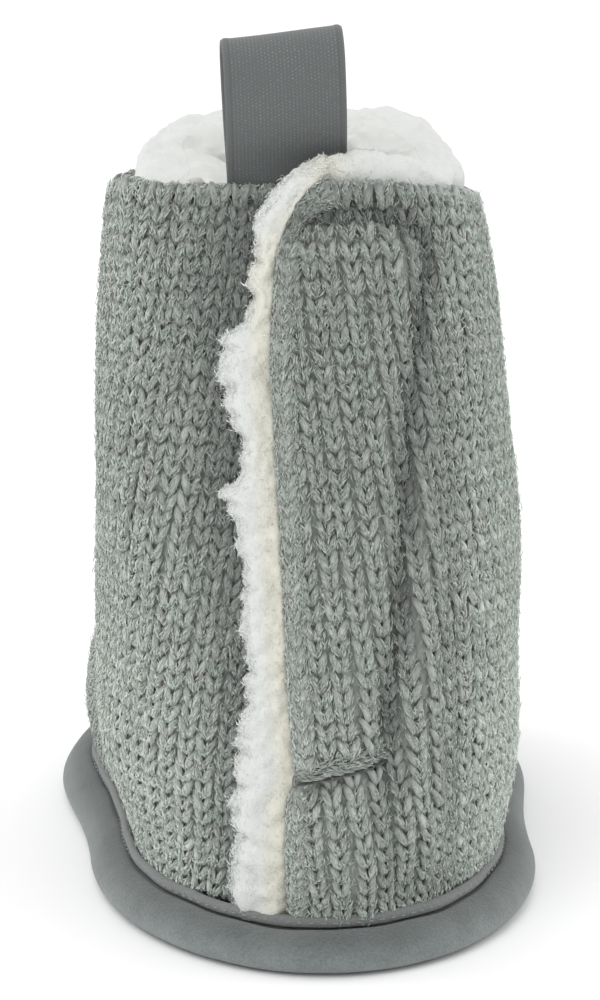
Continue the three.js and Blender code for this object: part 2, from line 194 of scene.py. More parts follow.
class WallTable:
    """The upper's plain outer face, read at any distance round and any height."""

    LOW, HIGH, STEP_UP = 4.0, 106.0, 0.5
    FAR, STEP_ROUND = 170.0, 0.25

    def __init__(self):
        self.heights = np.arange(self.LOW, self.HIGH + self.STEP_UP / 2, self.STEP_UP)
        rounds = np.arange(0, self.FAR, self.STEP_ROUND)
        self.across, self.along, self.half_girth, self.lean = [], [], [], []
        for height in self.heights:
            section = section_at(height)
            across, along, lengths = half_outline(section)
            half = lengths[-1]
            folded = np.where(rounds > half, 2 * half - rounds, rounds)
            side = np.where(rounds > half, -1, 1)
            self.across.append(side * np.interp(folded, lengths, across))
            self.along.append(np.interp(folded, lengths, along))
            self.half_girth.append(half)
            self.lean.append(section[6])
        self.across = np.array(self.across)
        self.along = np.array(self.along)

    def half_girth_at(self, height):
        return np.interp(height, self.heights, self.half_girth)

    def point(self, round_, height):
        round_, height = np.broadcast_arrays(np.asarray(round_, float), np.asarray(height, float))
        side = np.where(round_ < 0, -1, 1)
        row, column = (height - self.LOW) / self.STEP_UP, np.abs(round_) / self.STEP_ROUND
        across = np.interp(height, self.heights, self.lean) + side * read_table(self.across, row, column)
        return np.stack([across, read_table(self.along, row, column) - SOLE_LENGTH / 2, height], -1)


WALL = WallTable()


def unit(vectors):
    return vectors / np.maximum(np.linalg.norm(vectors, axis=-1, keepdims=True), 1e-9)


def lift_toe(points):
    """The soft sole lifts a little from the ball to the toe, and everything on it follows."""
    share = np.clip((points[..., 1] + SOLE_LENGTH / 2 - BALL_AT) / (SOLE_LENGTH - BALL_AT), 0, 1)
    lifted = points.copy()
    lifted[..., 2] += TOE_SPRING * share**2
    return lifted


def wall_point(round_, height, offset):
    """A point off the upper's plain outer face, along its normal."""
    probe = 0.3
    beside = WALL.point(round_ + probe, height) - WALL.point(round_ - probe, height)
    above = WALL.point(round_, height + probe) - WALL.point(round_, height - probe)
    normal = unit(np.cross(beside, above))
    return lift_toe(WALL.point(round_, height) + normal * np.asarray(offset)[..., None])


def free_of_seam(height):
    """From 0 at the sole's seam to 1 where the lap is free of it."""
    return ramp(height, SOLE_THICKNESS, SEWN_HEIGHT)


# The flap's edge as it lies, from the sole to the rounded corner at the collar: height, distance round. It is
# drawn in above the slit at its foot.
FLAP_LINE = np.array(
    [(0, -5.6), (12, -5.2), (20, -4.9), (24, -4.5), (26.8, -3.4), (32, -3.7), (40, -4.1), (54, -4.3), (68, -4.4),
     (80, -4.2), (86, -3.7), (90, -3.3), (94, -2.7), (97, -1.7), (99, -0.3), (100, 1.3), (101, 3.2)]
)


def flap_edge(height):
    """The flap's edge, with its rounded corner at the collar."""
    return np.interp(height, FLAP_LINE[:, 0], FLAP_LINE[:, 1])


def collar_fall(round_):
    """How far the knit's top edge falls from the back to the sides and front, sooner on the right."""
    left = ramp(-round_, COLLAR_LEVEL, COLLAR_LEVEL + COLLAR_FALL)
    right = ramp(round_, COLLAR_LEVEL_RIGHT, COLLAR_LEVEL_RIGHT + COLLAR_FALL_RIGHT)
    return mix(COLLAR_BACK, COLLAR_DROP, np.maximum(left, right))


def eased(round_, height):
    """Heights on the knit, easing down towards the falling edge."""
    return height - ramp(height, COLLAR_HEIGHT - COLLAR_EASE, COLLAR_HEIGHT) * collar_fall(round_)


def pressed_fleece(height):
    """Thickness of the pile inside the lap."""
    return mix(FLEECE_SEWN, FLEECE_PRESSED, free_of_seam(height))


def flap_lift(round_, height):
    """How far the flap stands off the plain wall."""
    return FLAP_LIFT * free_of_seam(height) * (1 - ramp(round_, UNDER_END + 0.6, UNDER_END + FLAP_FALL))


def under_dip(round_, height):
    """Where the under panel stands off the plain wall, below zero where it dips behind the flap."""
    dip = FLAP_LIFT * free_of_seam(height) - (KNIT + LAYER_GAP + pressed_fleece(height) + 0.3)
    return dip * ramp(round_, UNDER_FULL - UNDER_RISE, UNDER_FULL) * mix(0.15, 1.0, free_of_seam(height))


# The line pressed into the flap by the sewn patch behind it, and the slit across the flap's foot
PRESSED_LINE = np.array(
    [(-0.5, 96), (1, 97.2), (4.5, 97.8), (8.5, 97.5), (11.5, 96.4), (14, 94.4), (14.8, 92), (13.8, 86.7),
     (12.6, 79), (11.5, 72.5), (10.3, 61.5), (9.3, 50.5), (8.5, 43), (7, 30.7), (6.8, 20), (7.5, 9)]
)
SLIT_LINE = np.array([(-5, 26.6), (-1.2, 27.2), (2.5, 28), (6.8, 28.8)])
SLIT_ABOVE = 1.7
SLIT_BELOW = 0.8
SLIT_CALM = 2.0


def distance_to_line(round_, height, line):
    """Distance from places on the wall to a line of listed points, and which side of it they are on."""
    places = np.stack([round_, height], -1)
    best = np.full(round_.shape, 1e9)
    side = np.zeros(round_.shape)
    for start, end in zip(line[:-1], line[1:]):
        run = end - start
        share = np.clip(((places - start) @ run) / (run @ run), 0, 1)
        gap = places - start - share[..., None] * run
        away = np.hypot(gap[..., 0], gap[..., 1])
        turn = run[0] * gap[..., 1] - run[1] * gap[..., 0]
        side = np.where(away < best, np.sign(turn), side)
        best = np.minimum(best, away)
    return best, side


def sway(round_, height):
    """The slow unevenness of soft cloth."""
    return 0.28 * np.sin(0.19 * round_ + 0.11 * height) + 0.22 * np.sin(0.07 * round_ - 0.16 * height + 1.1)


# The seam between shaft and forefoot lies in a plane that tilts back
SEAM_TILT = 28
VAMP_TILT = (math.cos(math.radians(SEAM_TILT)), math.sin(math.radians(SEAM_TILT)))
VAMP_START = 38.9


def vamp_seam_gap(points):
    """How far places stand in front of the seam between shaft and forefoot, in millimetres."""
    along = points[..., 1] + SOLE_LENGTH / 2
    return VAMP_TILT[0] * along - VAMP_TILT[1] * points[..., 2] - VAMP_START


def seam_troughs(round_, height):
    """Soft troughs along the forefoot seam and the seam down the shaft's front."""
    forefoot = 0.7 * np.exp(-((vamp_seam_gap(WALL.point(round_, height)) / 1.3) ** 2))
    from_front = WALL.half_girth_at(height) - np.abs(round_)
    front = np.exp(-((from_front / 1.3) ** 2)) * ramp(height, 50, 54)
    return -0.9 * np.maximum(forefoot, front)


def flap_relief(round_, height):
    """The flap's pressed line, the pillow inside it, and the slit at its foot."""
    away, side = distance_to_line(round_, height, PRESSED_LINE)
    inside = np.where(side < 0, 1.0, 0.0)
    strength = mix(0.35, 1.0, ramp(height, 14, 34))
    groove = -1.45 * strength * np.exp(-((away / 1.7) ** 2))
    pillow = 0.75 * inside * ramp(away, 0.4, 4.5)
    away, side = distance_to_line(round_, height, SLIT_LINE)
    reach = ramp(SLIT_LINE[-1, 0] + 1.5 - round_, 0, 2)
    over = 0.5 * np.exp(-((away / 3.6) ** 2))
    under = -0.9 * np.exp(-((away / 1.8) ** 2))
    slit = reach * np.where(side > 0, over, under)
    return groove + pillow + slit


def painted_light(round_, height):
    """Painted light: the knit is painted lighter round its sides, most on the right, low on the heel and at middle
    heights, less so towards the forefoot, and a little darker high up at the back.
    """
    sides = ramp(np.abs(round_), 11, 26)
    low = ramp(50 - height, 0, 32)
    high = ramp(height, 74, 90)
    right = ramp(round_, 14, 28)
    middle = ramp(height, 26, 34) * ramp(66 - height, 0, 14)
    pale = 0.13 * sides + 0.33 * right + 0.15 * low + 0.2 * low * sides + 0.09 * middle
    pale = pale * mix(1.0, 0.25, ramp(np.abs(round_), 42, 62))
    return 1.07 + pale - 0.05 * high * (1 - sides)


def flap_shade(round_, height):
    """Painted shade: the yarn is painted darker in the pressed line and in and below the slit, on top of the
    knit's painted light.
    """
    away, side = distance_to_line(round_, height, PRESSED_LINE)
    strength = mix(0.3, 1.0, ramp(height, 14, 34))
    beyond = np.where(side > 0, 1.0, 0.6)
    line = 0.52 * strength * np.exp(-((away / mix(1.1, 2.0, np.maximum(side, 0))) ** 2)) * beyond
    away, side = distance_to_line(round_, height, SLIT_LINE)
    reach = ramp(SLIT_LINE[-1, 0] + 1.5 - round_, 0, 2)
    below = np.where(side > 0, 0.0, 0.32 * np.exp(-((away / 2.4) ** 2)))
    slit = reach * np.maximum(0.8 * np.exp(-((away / 0.7) ** 2)), below)
    return painted_light(round_, height) * (1 - np.maximum(line, slit))


def under_shade(round_, height):
    """The under panel lies in the fleece's shade beside the flap."""
    return painted_light(round_, height) * (1 - 0.3 * ramp(round_, flap_edge(height) - 14, flap_edge(height) - 6))


def flap_skin(round_, height):
    """The knit's outer face from the flap's edge round the wearer's right side."""
    offset = flap_lift(round_, height) + flap_relief(round_, height) + sway(round_, height)
    return wall_point(round_, height, offset + seam_troughs(round_, height))


def under_skin(round_, height):
    """The knit's outer face from behind the flap round the wearer's left side."""
    offset = under_dip(round_, height) + sway(round_, height)
    return wall_point(round_, height, offset + seam_troughs(round_, height))


def skin_frame(skin, first, second):
    """Places on a skin with its direction across, its direction up and its normal."""
    probe = 0.4
    across = unit(skin(first + probe, second) - skin(first - probe, second))
    up = unit(skin(first, second + probe) - skin(first, second - probe))
    return skin(first, second), across, up, unit(np.cross(across, up))


class VampTable:
    """The forefoot's outer face, read by distance from its ridge and distance from its seam to the toe."""

    STEP = 0.5
    GIRTH_STEP = 0.25
    LOW, HIGH = 5.6, 62
    TOE_TILT = 58

    def __init__(self):
        heights = np.arange(self.LOW, self.HIGH, 0.02)
        rows = np.arange(self.LOW, self.HIGH, 0.2)
        fronts = np.interp(heights, rows, np.array([section_at(height)[1] for height in rows]))
        order = np.argsort(-heights)
        ridge = np.stack([fronts[order], heights[order]], -1)
        ahead = VAMP_TILT[0] * ridge[:, 0] - VAMP_TILT[1] * ridge[:, 1] > VAMP_START
        ridge = ridge[ahead]
        lengths = run_lengths(np.hypot(*np.diff(ridge, axis=0).T))
        self.length = lengths[-1]
        sections = np.array([section_at(height) for height in heights])
        girths = np.arange(0, 80, self.GIRTH_STEP)
        self.places, self.reach = [], []
        for reached in np.arange(0, self.length + self.STEP, self.STEP):
            along0 = np.interp(reached, lengths, ridge[:, 0])
            height0 = np.interp(reached, lengths, ridge[:, 1])
            tilt = math.radians(mix(SEAM_TILT, self.TOE_TILT, min(reached / self.length, 1) ** 1.5))
            drop = np.clip(height0 - heights, 0, None)
            along = along0 - math.tan(tilt) * drop
            half = np.zeros(len(heights))
            for index in np.nonzero(heights <= height0)[0]:
                half[index] = half_width(sections[index], np.array(along[index]))
            keep = np.nonzero(heights <= height0)[0][::-1]
            curve = np.stack([half[keep], along[keep] - SOLE_LENGTH / 2, heights[keep]], -1)
            curve[0, 0] = 0
            run = run_lengths(np.linalg.norm(np.diff(curve, axis=0), axis=1))
            self.places.append(np.stack([np.interp(girths, run, curve[:, axis]) for axis in range(3)], -1))
            self.reach.append(run[-1])
        self.places = np.array(self.places)
        self.reach = np.array(self.reach)

    def point(self, girth, reached):
        girth, reached = np.broadcast_arrays(np.asarray(girth, float), np.asarray(reached, float))
        place = read_table(self.places, reached / self.STEP, np.abs(girth) / self.GIRTH_STEP)
        place[..., 0] *= np.where(girth < 0, -1, 1)
        return place

    def reach_at(self, reached):
        return np.interp(reached, np.arange(len(self.reach)) * self.STEP, self.reach)


VAMP = VampTable()


def vamp_skin(girth, reached):
    """The knit's outer face on the forefoot."""
    return lift_toe(VAMP.point(girth, reached))


# Sizes and colours that a user would change


def number_property(name, description, default, kind=bpy.props.FloatProperty, **limits):
    return kind(name=name, description=description, default=default, **limits)


def count_property(name, description, default, low, high):
    return number_property(name, description, default, bpy.props.IntProperty, min=low, max=high)


def length_property(name, description, default):
    return number_property(name, description, default, unit="LENGTH", precision=5)


def angle_property(name, description, degrees):
    return number_property(name, description, math.radians(degrees), subtype="ANGLE")


def power_property(name, description, default):
    return number_property(name, description, default, subtype="POWER")


def colour_property(name, description, default):
    kind = bpy.props.FloatVectorProperty
    return number_property(name, description, default, kind, subtype="COLOR", min=0.0, max=1.0, size=3)


class BootieSizes(bpy.types.PropertyGroup):
    """Sizes of the bootie's cloths, threads and pile."""

    stitch_width: length_property("Stitch Width", "Width of one knit stitch", 0.00265)
    stitch_height: length_property("Stitch Height", "Height of one knit stitch", 0.00215)
    yarn_width: number_property("Yarn Width", "Width of the yarn against the standard yarn", 1.0, min=0.3, max=2.0)
    fuzz_count: count_property("Fuzz Fibres", "Loose fibres on each knit panel", 26000, 100, 30000)
    fuzz_length: length_property("Fuzz Length", "Length of a loose fibre", 0.0012)
    strand_count: count_property("Strands", "Loose strands on each leg of a stitch", 12, 1, 16)
    pile_count: count_property("Pile Fibres", "Fibres on the fleece beside the flap", 11000, 100, 32000)
    pile_length: length_property("Pile Length", "Length of one fibre of the fleece's pile", 0.0006)
    seam_stitch: length_property("Rim Stitch", "Distance between the stitches along the binding", 0.00155)
    seam_thread: length_property("Rim Thread", "Thickness of the thread along the binding", 0.00026)


class BootieColours(bpy.types.PropertyGroup):
    """Colours of the bootie's finishes."""

    yarn_dark: colour_property("Dark Fibre", "Darkest fibres of the heather yarn", (0.135, 0.146, 0.134))
    yarn_mid: colour_property("Middle Fibre", "Body of the heather yarn", (0.355, 0.384, 0.354))
    yarn_light: colour_property("Light Fibre", "Lightest fibres of the heather yarn", (0.60, 0.635, 0.59))
    fleece_white: colour_property("Fleece White", "Tips of the pile fleece", (0.60, 0.614, 0.60))
    # Inner faces take a white of their own, set to the light inside the collar.
    fleece_deep: colour_property("Fleece Inside", "Thick pile inside the collar", (0.592, 0.602, 0.58))
    # Painted light: the pile deep inside the bootie and the footbed are painted this much lighter, against the
    # dark there.
    fleece_painted_light: colour_property("Fleece Depth", "Pile deep inside the bootie", (0.88, 0.88, 0.86))
    fleece_cream: colour_property("Fleece Cream", "Ground of the pile fleece", (0.62, 0.61, 0.525))
    fleece_speck: colour_property("Fleece Speck", "Knit ground seen through thin pile", (0.42, 0.39, 0.30))
    rim_cloth: colour_property("Rim Cloth", "Microfibre of the rolled rim", (0.128, 0.146, 0.144))
    binding_cloth: colour_property("Binding Cloth", "Folded edge of the binding", (0.215, 0.23, 0.224))
    sole_cloth: colour_property("Sole Cloth", "Napped cloth under the sole", (0.12, 0.128, 0.13))
    ribbon: colour_property("Ribbon", "Woven ribbon of the pull loop", (0.100, 0.108, 0.107))
    ribbon_dot: colour_property("Ribbon Floats", "Floating threads of the ribbon's weave", (0.225, 0.235, 0.232))
    thread: colour_property("Thread", "Sewing thread along the binding", (0.25, 0.262, 0.258))
    floor: colour_property("Floor", "Studio floor", (0.96, 0.96, 0.96))


class BootieStage(bpy.types.PropertyGroup):
    """Camera and light of the studio."""

    camera_yaw: angle_property("Camera Yaw", "Turn of the view off the bootie's length", 4.47)
    camera_pitch: angle_property("Camera Pitch", "Downward tilt of the view", 14.81)
    camera_reach: length_property("Camera Reach", "Level distance from the heel to the camera", 0.5504)
    camera_height: length_property("Camera Height", "Height of the camera over the floor", 0.1999)
    camera_side: length_property("Camera Side", "Sideways place of the camera", 0.00228)
    camera_lens: number_property("Lens", "Focal length in millimetres", 155.46, min=20, max=400)
    key_power: power_property("Key Light", "Power of the large soft light", 4.0)
    side_power: power_property("Side Lights", "Power of each side light", 2.0)
    surround: number_property("Surround", "Strength of the white surround", 1.0, min=0.0)


# Node trees


class Socket:
    """An output of a node. Sums on it add Math nodes to its tree."""

    def __init__(self, tree, link):
        self.tree = tree
        self.link = link

    def sum(self, operation, first, second):
        return self.tree.node("ShaderNodeMath", {"operation": operation}, {0: first, 1: second})

    def __add__(self, other):
        return self.sum("ADD", self, other)

    def __radd__(self, other):
        return self.sum("ADD", other, self)

    def __sub__(self, other):
        return self.sum("SUBTRACT", self, other)

    def __rsub__(self, other):
        return self.sum("SUBTRACT", other, self)

    def __mul__(self, other):
        return self.sum("MULTIPLY", self, other)


class Tree:
    """A node tree under construction."""

    def __init__(self, nodes):
        self.tree = nodes

    def node(self, kind, settings=None, sockets=None, output=0):
        """Adds a node: its settings first, then the values or links of its sockets."""
        made = self.tree.nodes.new(kind)
        for name, value in (settings or {}).items():
            setattr(made, name, value)
        for key, value in (sockets or {}).items():
            if isinstance(value, Socket):
                self.tree.links.new(value.link, made.inputs[key])
            else:
                made.inputs[key].default_value = value
        return Socket(self, made.outputs[output])


class Finish(Tree):
    """A material whose nodes are written as expressions."""

    def __init__(self, name, roughness=0.9, sheen=0.0, specular=0.3):
        self.material = bpy.data.materials.new(name)
        self.material.use_nodes = True
        super().__init__(self.material.node_tree)
        self.tree.nodes.clear()
        self.shader = self.tree.nodes.new("ShaderNodeBsdfPrincipled")
        out = self.tree.nodes.new("ShaderNodeOutputMaterial")
        self.tree.links.new(self.shader.outputs[0], out.inputs["Surface"])
        self.shader.inputs["Roughness"].default_value = roughness
        self.shader.inputs["Specular IOR Level"].default_value = specular
        self.shader.inputs["Sheen Weight"].default_value = sheen
        self.shader.inputs["Sheen Roughness"].default_value = 0.6

    def feed(self, name, socket):
        self.tree.links.new(socket.link, self.shader.inputs[name])

    def place(self, scale):
        """Object coordinates in millimetres, scaled."""
        at = self.node("ShaderNodeTexCoord", output=3)
        size = tuple(1000.0 * s for s in scale)
        return self.node("ShaderNodeVectorMath", {"operation": "MULTIPLY"}, {0: at, 1: size})

    def attribute(self, name, output):
        return self.node("ShaderNodeAttribute", {"attribute_name": name}, output=output)

    def part(self, vector, axis):
        return self.node("ShaderNodeSeparateXYZ", None, {0: vector}, output=axis)

    def level(self):
        """Height over the floor in millimetres."""
        return self.part(self.place((1, 1, 1)), 2)

    def maths(self, operation, value):
        return self.node("ShaderNodeMath", {"operation": operation}, {0: value})

    def noise(self, vector, detail=2.0, rough=0.5):
        sockets = {"Vector": vector, "Scale": 1.0, "Detail": detail, "Roughness": rough}
        return self.node("ShaderNodeTexNoise", None, sockets)

    def band(self, value, low, high, start=0.0, end=1.0):
        """A value stretched from one range to another and kept within it."""
        return self.node("ShaderNodeMapRange", {"clamp": True}, {0: value, 1: low, 2: high, 3: start, 4: end})

    def blend(self, first, second, share):
        """A colour between two colours."""
        wide = [(*c, 1.0) if isinstance(c, tuple) and len(c) == 3 else c for c in (first, second)]
        return self.node("ShaderNodeMix", {"data_type": "RGBA"}, {0: share, 6: wide[0], 7: wide[1]}, output=2)

    def shaded(self, colour, share):
        """A colour darkened or lightened by a value."""
        settings = {"data_type": "RGBA", "blend_type": "MULTIPLY"}
        return self.node("ShaderNodeMix", settings, {0: 1.0, 6: colour, 7: share}, output=2)

    def relief(self, height, distance):
        """Fine relief from a height, its depth in millimetres."""
        sockets = {"Height": height, "Distance": distance * MM, "Strength": 1.0}
        self.feed("Normal", self.node("ShaderNodeBump", None, sockets))


def sizes():
    return bpy.context.scene.bootie_sizes


def tint(name):
    return tuple(getattr(bpy.context.scene.bootie_colours, name))


def heather_yarn():
    """Spun yarn of dark, middle and light grey fibres, running along each strand."""
    finish = Finish("heather_yarn", roughness=0.95, sheen=0.45, specular=0.1)
    strand = finish.attribute("strand", 1)
    tone = finish.attribute("tone", 2)
    shade = finish.attribute("shade", 2)
    along, about, lift = (finish.part(strand, axis) for axis in range(3))
    twist = about + along * 0.45
    run = finish.node("ShaderNodeCombineXYZ", None, {0: along * 0.5, 1: twist * 3.0, 2: tone * 91.0})
    streaks = finish.noise(run, 3.0, 0.62)
    fine = finish.node("ShaderNodeCombineXYZ", None, {0: along * 0.9, 1: twist * 7.5, 2: tone * 37.0})
    hairs = finish.noise(fine, 2.0, 0.6)
    drift = finish.noise(finish.place((0.16, 0.16, 0.07)), 2.0)
    level = streaks * 0.58 + hairs * 0.42 + (drift - 0.5) * 0.3 + (tone - 0.5) * 0.16
    body = finish.blend(tint("yarn_dark"), tint("yarn_mid"), finish.band(level, 0.30, 0.50, 0.4, 1.0))
    colour = finish.blend(body, tint("yarn_light"), finish.band(level, 0.52, 0.8, 0.0, 0.4))
    # Painted shade: the legs are painted darker where they sink behind their neighbours and on their undersides,
    # low on their lift. The shade mark adds each stitch's painted light and shade.
    depth = finish.band(lift, 0.0, 0.9, 0.33, 1.0) * shade
    finish.feed("Base Color", finish.shaded(colour, depth))
    finish.relief(streaks * 0.6 + hairs * 0.6, 0.25)
    return finish.material


def knit_ground():
    """The yarn between and behind the stitches, painted darker than their yarn as painted shade, and lighter or
    darker again by its shade mark.
    """
    finish = Finish("knit_ground", roughness=0.98, specular=0.05)
    strands = finish.noise(finish.place((1.6, 1.6, 0.7)), 3.0)
    dark, mid = tint("yarn_dark"), tint("yarn_mid")
    colour = finish.blend(dark, tuple(c * 0.85 for c in mid), strands)
    finish.feed("Base Color", finish.shaded(colour, finish.attribute("shade", 2)))
    finish.relief(strands, 0.3)
    return finish.material


def loose_strand():
    """Strands on the stitches, from dark to light, faintly warmer or cooler."""
    finish = Finish("loose_strand", roughness=0.95, sheen=0.15, specular=0.05)
    tone = finish.attribute("tone", 2)
    shade = finish.attribute("shade", 2)
    body = finish.blend(tint("yarn_dark"), tint("yarn_mid"), finish.band(tone, 0.0, 0.3, 0.62, 1.0))
    colour = finish.blend(body, tint("yarn_light"), finish.band(tone, 0.3, 1.0, 0.0, 0.38))
    hue = finish.band(finish.noise(finish.place((0.45, 0.45, 0.45)), 2.0), 0.35, 0.65)
    tinted = finish.blend((1.0, 0.965, 0.97), (0.94, 1.0, 0.985), hue)
    finish.feed("Base Color", finish.shaded(finish.shaded(colour, tinted), shade))
    return finish.material


def loose_fibre():
    """Fine short fibres over the knit, pale against it."""
    finish = Finish("loose_fibre", roughness=0.9, sheen=0.2, specular=0.15)
    tone = finish.attribute("tone", 2)
    shade = finish.attribute("shade", 2)
    colour = finish.blend(tint("yarn_mid"), tint("yarn_light"), finish.band(tone, 0.2, 1.0, 0.0, 0.42))
    finish.feed("Base Color", finish.shaded(colour, shade))
    return finish.material


def pile_fleece(name, cream):
    """Deep soft pile fleece: white, creamier and specked where its ground shows."""
    finish = Finish(name, roughness=1.0, sheen=0.2, specular=0.05)
    ground = finish.attribute("ground", 2)
    inside = finish.attribute("inside", 2)
    clouds = finish.noise(finish.place((0.55, 0.55, 0.4)), 3.0, 0.55)
    curls = finish.noise(finish.place((2.4, 2.4, 1.8)), 3.0, 0.6)
    share = finish.band(ground * 0.8 + (clouds - 0.5) * 0.7 + cream, 0.1, 0.9)
    # Painted light: low on the inner faces and on the footbed the pile is painted a much lighter white. Inner
    # faces take their own white, set to the light inside the collar.
    deep = finish.band(inside, 0.7, 1.0) * finish.band(finish.level(), PILE_LOW, PILE_FULL - 1, 1.0, 0.0)
    white = finish.blend(tint("fleece_white"), tint("fleece_deep"), inside)
    white = finish.blend(white, tint("fleece_painted_light"), deep)
    colour = finish.blend(white, tint("fleece_cream"), share)
    specks = finish.band(curls, 0.57, 0.68) * ground
    finish.feed("Base Color", finish.blend(colour, tint("fleece_speck"), specks * 0.65))
    finish.relief((clouds * 0.4 + curls * 0.3) * (1 - inside * 0.7), 0.4)
    return finish.material


def pile_fibre():
    """Single fibres of the pile, painted lighter than the mass under them to make up for the shade on their own
    undersides, some whiter and some creamier.
    """
    finish = Finish("pile_fibre", roughness=1.0, sheen=0.2, specular=0.05)
    tone = finish.attribute("tone", 2)
    ground = finish.attribute("shade", 2)
    share = finish.band(ground * 0.7 + tone * 0.3, 0.3, 1.0)
    white, cream = (tuple(min(1.0, c * 1.4) for c in tint(name)) for name in ("fleece_white", "fleece_cream"))
    finish.feed("Base Color", finish.blend(white, cream, share))
    return finish.material


def microfibre(name, base, lighter):
    """Fine napped cloth with faint brushed patches, painted lighter towards the floor and darker towards the top
    as painted light and shade.
    """
    finish = Finish(name, roughness=0.85, sheen=0.3, specular=0.2)
    nap = finish.noise(finish.place((2.8, 2.8, 2.8)), 3.0, 0.7)
    patches = finish.noise(finish.place((0.22, 0.22, 0.3)), 2.0)
    share = finish.band(nap * 0.65 + patches * 0.35, 0.35, 0.65)
    low = tuple(c * (1 - lighter) for c in base)
    high = tuple(min(1.0, c * (1 + lighter)) for c in base)
    painted_shade_by_height = finish.band(finish.level(), 1.8, 5.0, 1.34, 0.74)
    finish.feed("Base Color", finish.shaded(finish.blend(low, high, share), painted_shade_by_height))
    finish.relief(nap * 0.7 + patches * 0.6, 0.35)
    return finish.material


def woven_ribbon():
    """Close twill ribbon: small pale floats in slanting rows, some brighter, with a plain edge on each side."""
    finish = Finish("woven_ribbon", roughness=0.75, sheen=0.15, specular=0.25)
    weave = finish.attribute("weave", 1)
    across, along = finish.part(weave, 0), finish.part(weave, 1)
    full = 2 * math.pi
    warp = finish.maths("COSINE", across * (full / 0.46))
    weft = finish.maths("COSINE", along * (full / 0.44) + across * (full / 0.92))
    sparkle = finish.noise(finish.place((2.3, 2.3, 2.3)), 1.0)
    floats = finish.band(warp * 0.5 + weft * 0.5, 0.1, 0.9) * finish.band(sparkle, 0.35, 0.68, 0.15, 1.0)
    edge = finish.maths("ABSOLUTE", across)
    inner = finish.band(edge, 6.75, 6.95, 1.0, 0.25)
    patches = finish.noise(finish.place((0.3, 0.3, 0.3)), 2.0)
    share = floats * inner * finish.band(patches, 0.3, 0.7, 0.55, 0.95)
    colour = finish.blend(tint("ribbon"), tint("ribbon_dot"), share)
    selvedge = finish.band(edge, 6.55, 6.7) * finish.band(edge, 6.8, 6.95, 1.0, 0.0)
    finish.feed("Base Color", finish.shaded(colour, 1 - selvedge * 0.15))
    finish.relief(floats, 0.07)
    return finish.material


def sewing_thread():
    """Twisted thread, mottled darker in fine patches as painted shade between its turns."""
    finish = Finish("sewing_thread", roughness=0.7, sheen=0.1, specular=0.3)
    twist = finish.noise(finish.place((6, 6, 6)), 2.0)
    base = tint("thread")
    finish.feed("Base Color", finish.blend(tuple(c * 0.75 for c in base), base, twist))
    finish.relief(twist, 0.06)
    return finish.material


# Meshes


def make_piece(name, points, faces, materials, attributes=None):
    """A smooth mesh object from points in millimetres."""
    mesh = bpy.data.meshes.new(name)
    mesh.from_pydata((np.asarray(points) * MM).tolist(), [], faces)
    for material in materials:
        mesh.materials.append(material)
    for label, values in (attributes or {}).items():
        values = np.asarray(values)
        whole = values.dtype.kind == "i"
        kind = "INT" if whole else ("FLOAT" if values.ndim == 1 else "FLOAT_VECTOR")
        layer = mesh.attributes.new(label, kind, "POINT")
        field = "vector" if kind == "FLOAT_VECTOR" else "value"
        layer.data.foreach_set(field, values.astype(np.int32 if whole else np.float32).ravel())
    mesh.polygons.foreach_set("use_smooth", np.ones(len(mesh.polygons), bool))
    mesh.update()
    piece = bpy.data.objects.new(name, mesh)
    bpy.context.scene.collection.objects.link(piece)
    return piece


def loft_faces(ring_count, size, closed_path=False, capped=False):
    """Quads between rings of equal length. Caps are ladders between a ring's outward and return halves."""
    faces = []
    for span in range(ring_count if closed_path else ring_count - 1):
        low, high = span * size, ((span + 1) % ring_count) * size
        for step in range(size):
            after = (step + 1) % size
            faces.append((low + step, low + after, high + after, high + step))
    if capped:
        top = (ring_count - 1) * size
        for step in range(size // 2 - 1):
            other = size - 1 - step
            faces.append((step, other, other - 1, step + 1))
            faces.append((top + step, top + step + 1, top + other - 1, top + other))
    return faces


def sew_in(piece, node):
    """Sets a finished piece in the part: attaches it to its body and hides the solid it stands for."""
    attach(piece, BODY)
    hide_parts(node)


def bumps(points, scale, seed=0.0):
    """Smooth noise at points in millimetres, about -1 to 1."""
    shift = Vector((seed * 17.3, seed * 9.1, seed * 5.7))
    places = np.asarray(points).reshape(-1, 3)
    return np.array([noise.noise(Vector(place) * scale + shift) for place in places])


# Repeated shapes


def tube_shape(name, centres, wide, thick, sides, lifts):
    """A closed tapering strand along given centres, with where each vertex lies along and about it."""
    centres = np.asarray(centres, float)
    tangents = unit(np.gradient(centres, axis=0))
    lengths = run_lengths(np.linalg.norm(np.diff(centres, axis=0), axis=1))
    points, strand = [], []
    rows = zip(centres[1:-1], tangents[1:-1], wide, thick, lengths[1:-1], lifts)
    for centre, tangent, w, t, length, lift in rows:
        side = unit(np.cross(tangent, (0, 0, 1)))
        out = np.cross(side, tangent)
        for step in range(sides):
            turn = 2 * math.pi * step / sides
            points.append(centre + side * w * math.cos(turn) + out * t * math.sin(turn))
            # Third value: how high the vertex stands, lower on the strand's underside and at its ends. The yarn's
            # shader paints shade with it.
            strand.append((length, (w + t) * turn / 2, lift * (0.55 + 0.45 * math.sin(turn))))
    rings = len(centres) - 2
    faces = []
    for ring in range(rings - 1):
        for step in range(sides):
            after = (step + 1) % sides
            low, high = ring * sides, (ring + 1) * sides
            faces.append((low + step, high + step, high + after, low + after))
    first, last = len(points), len(points) + 1
    points += [centres[0], centres[-1]]
    strand += [(0, 0, 0), (lengths[-1], 0, 0)]
    for step in range(sides):
        after = (step + 1) % sides
        faces.append((first, step, after))
        faces.append((last, (rings - 1) * sides + after, (rings - 1) * sides + step))
    return make_piece(name, points, faces, [], {"strand": np.array(strand, float)})


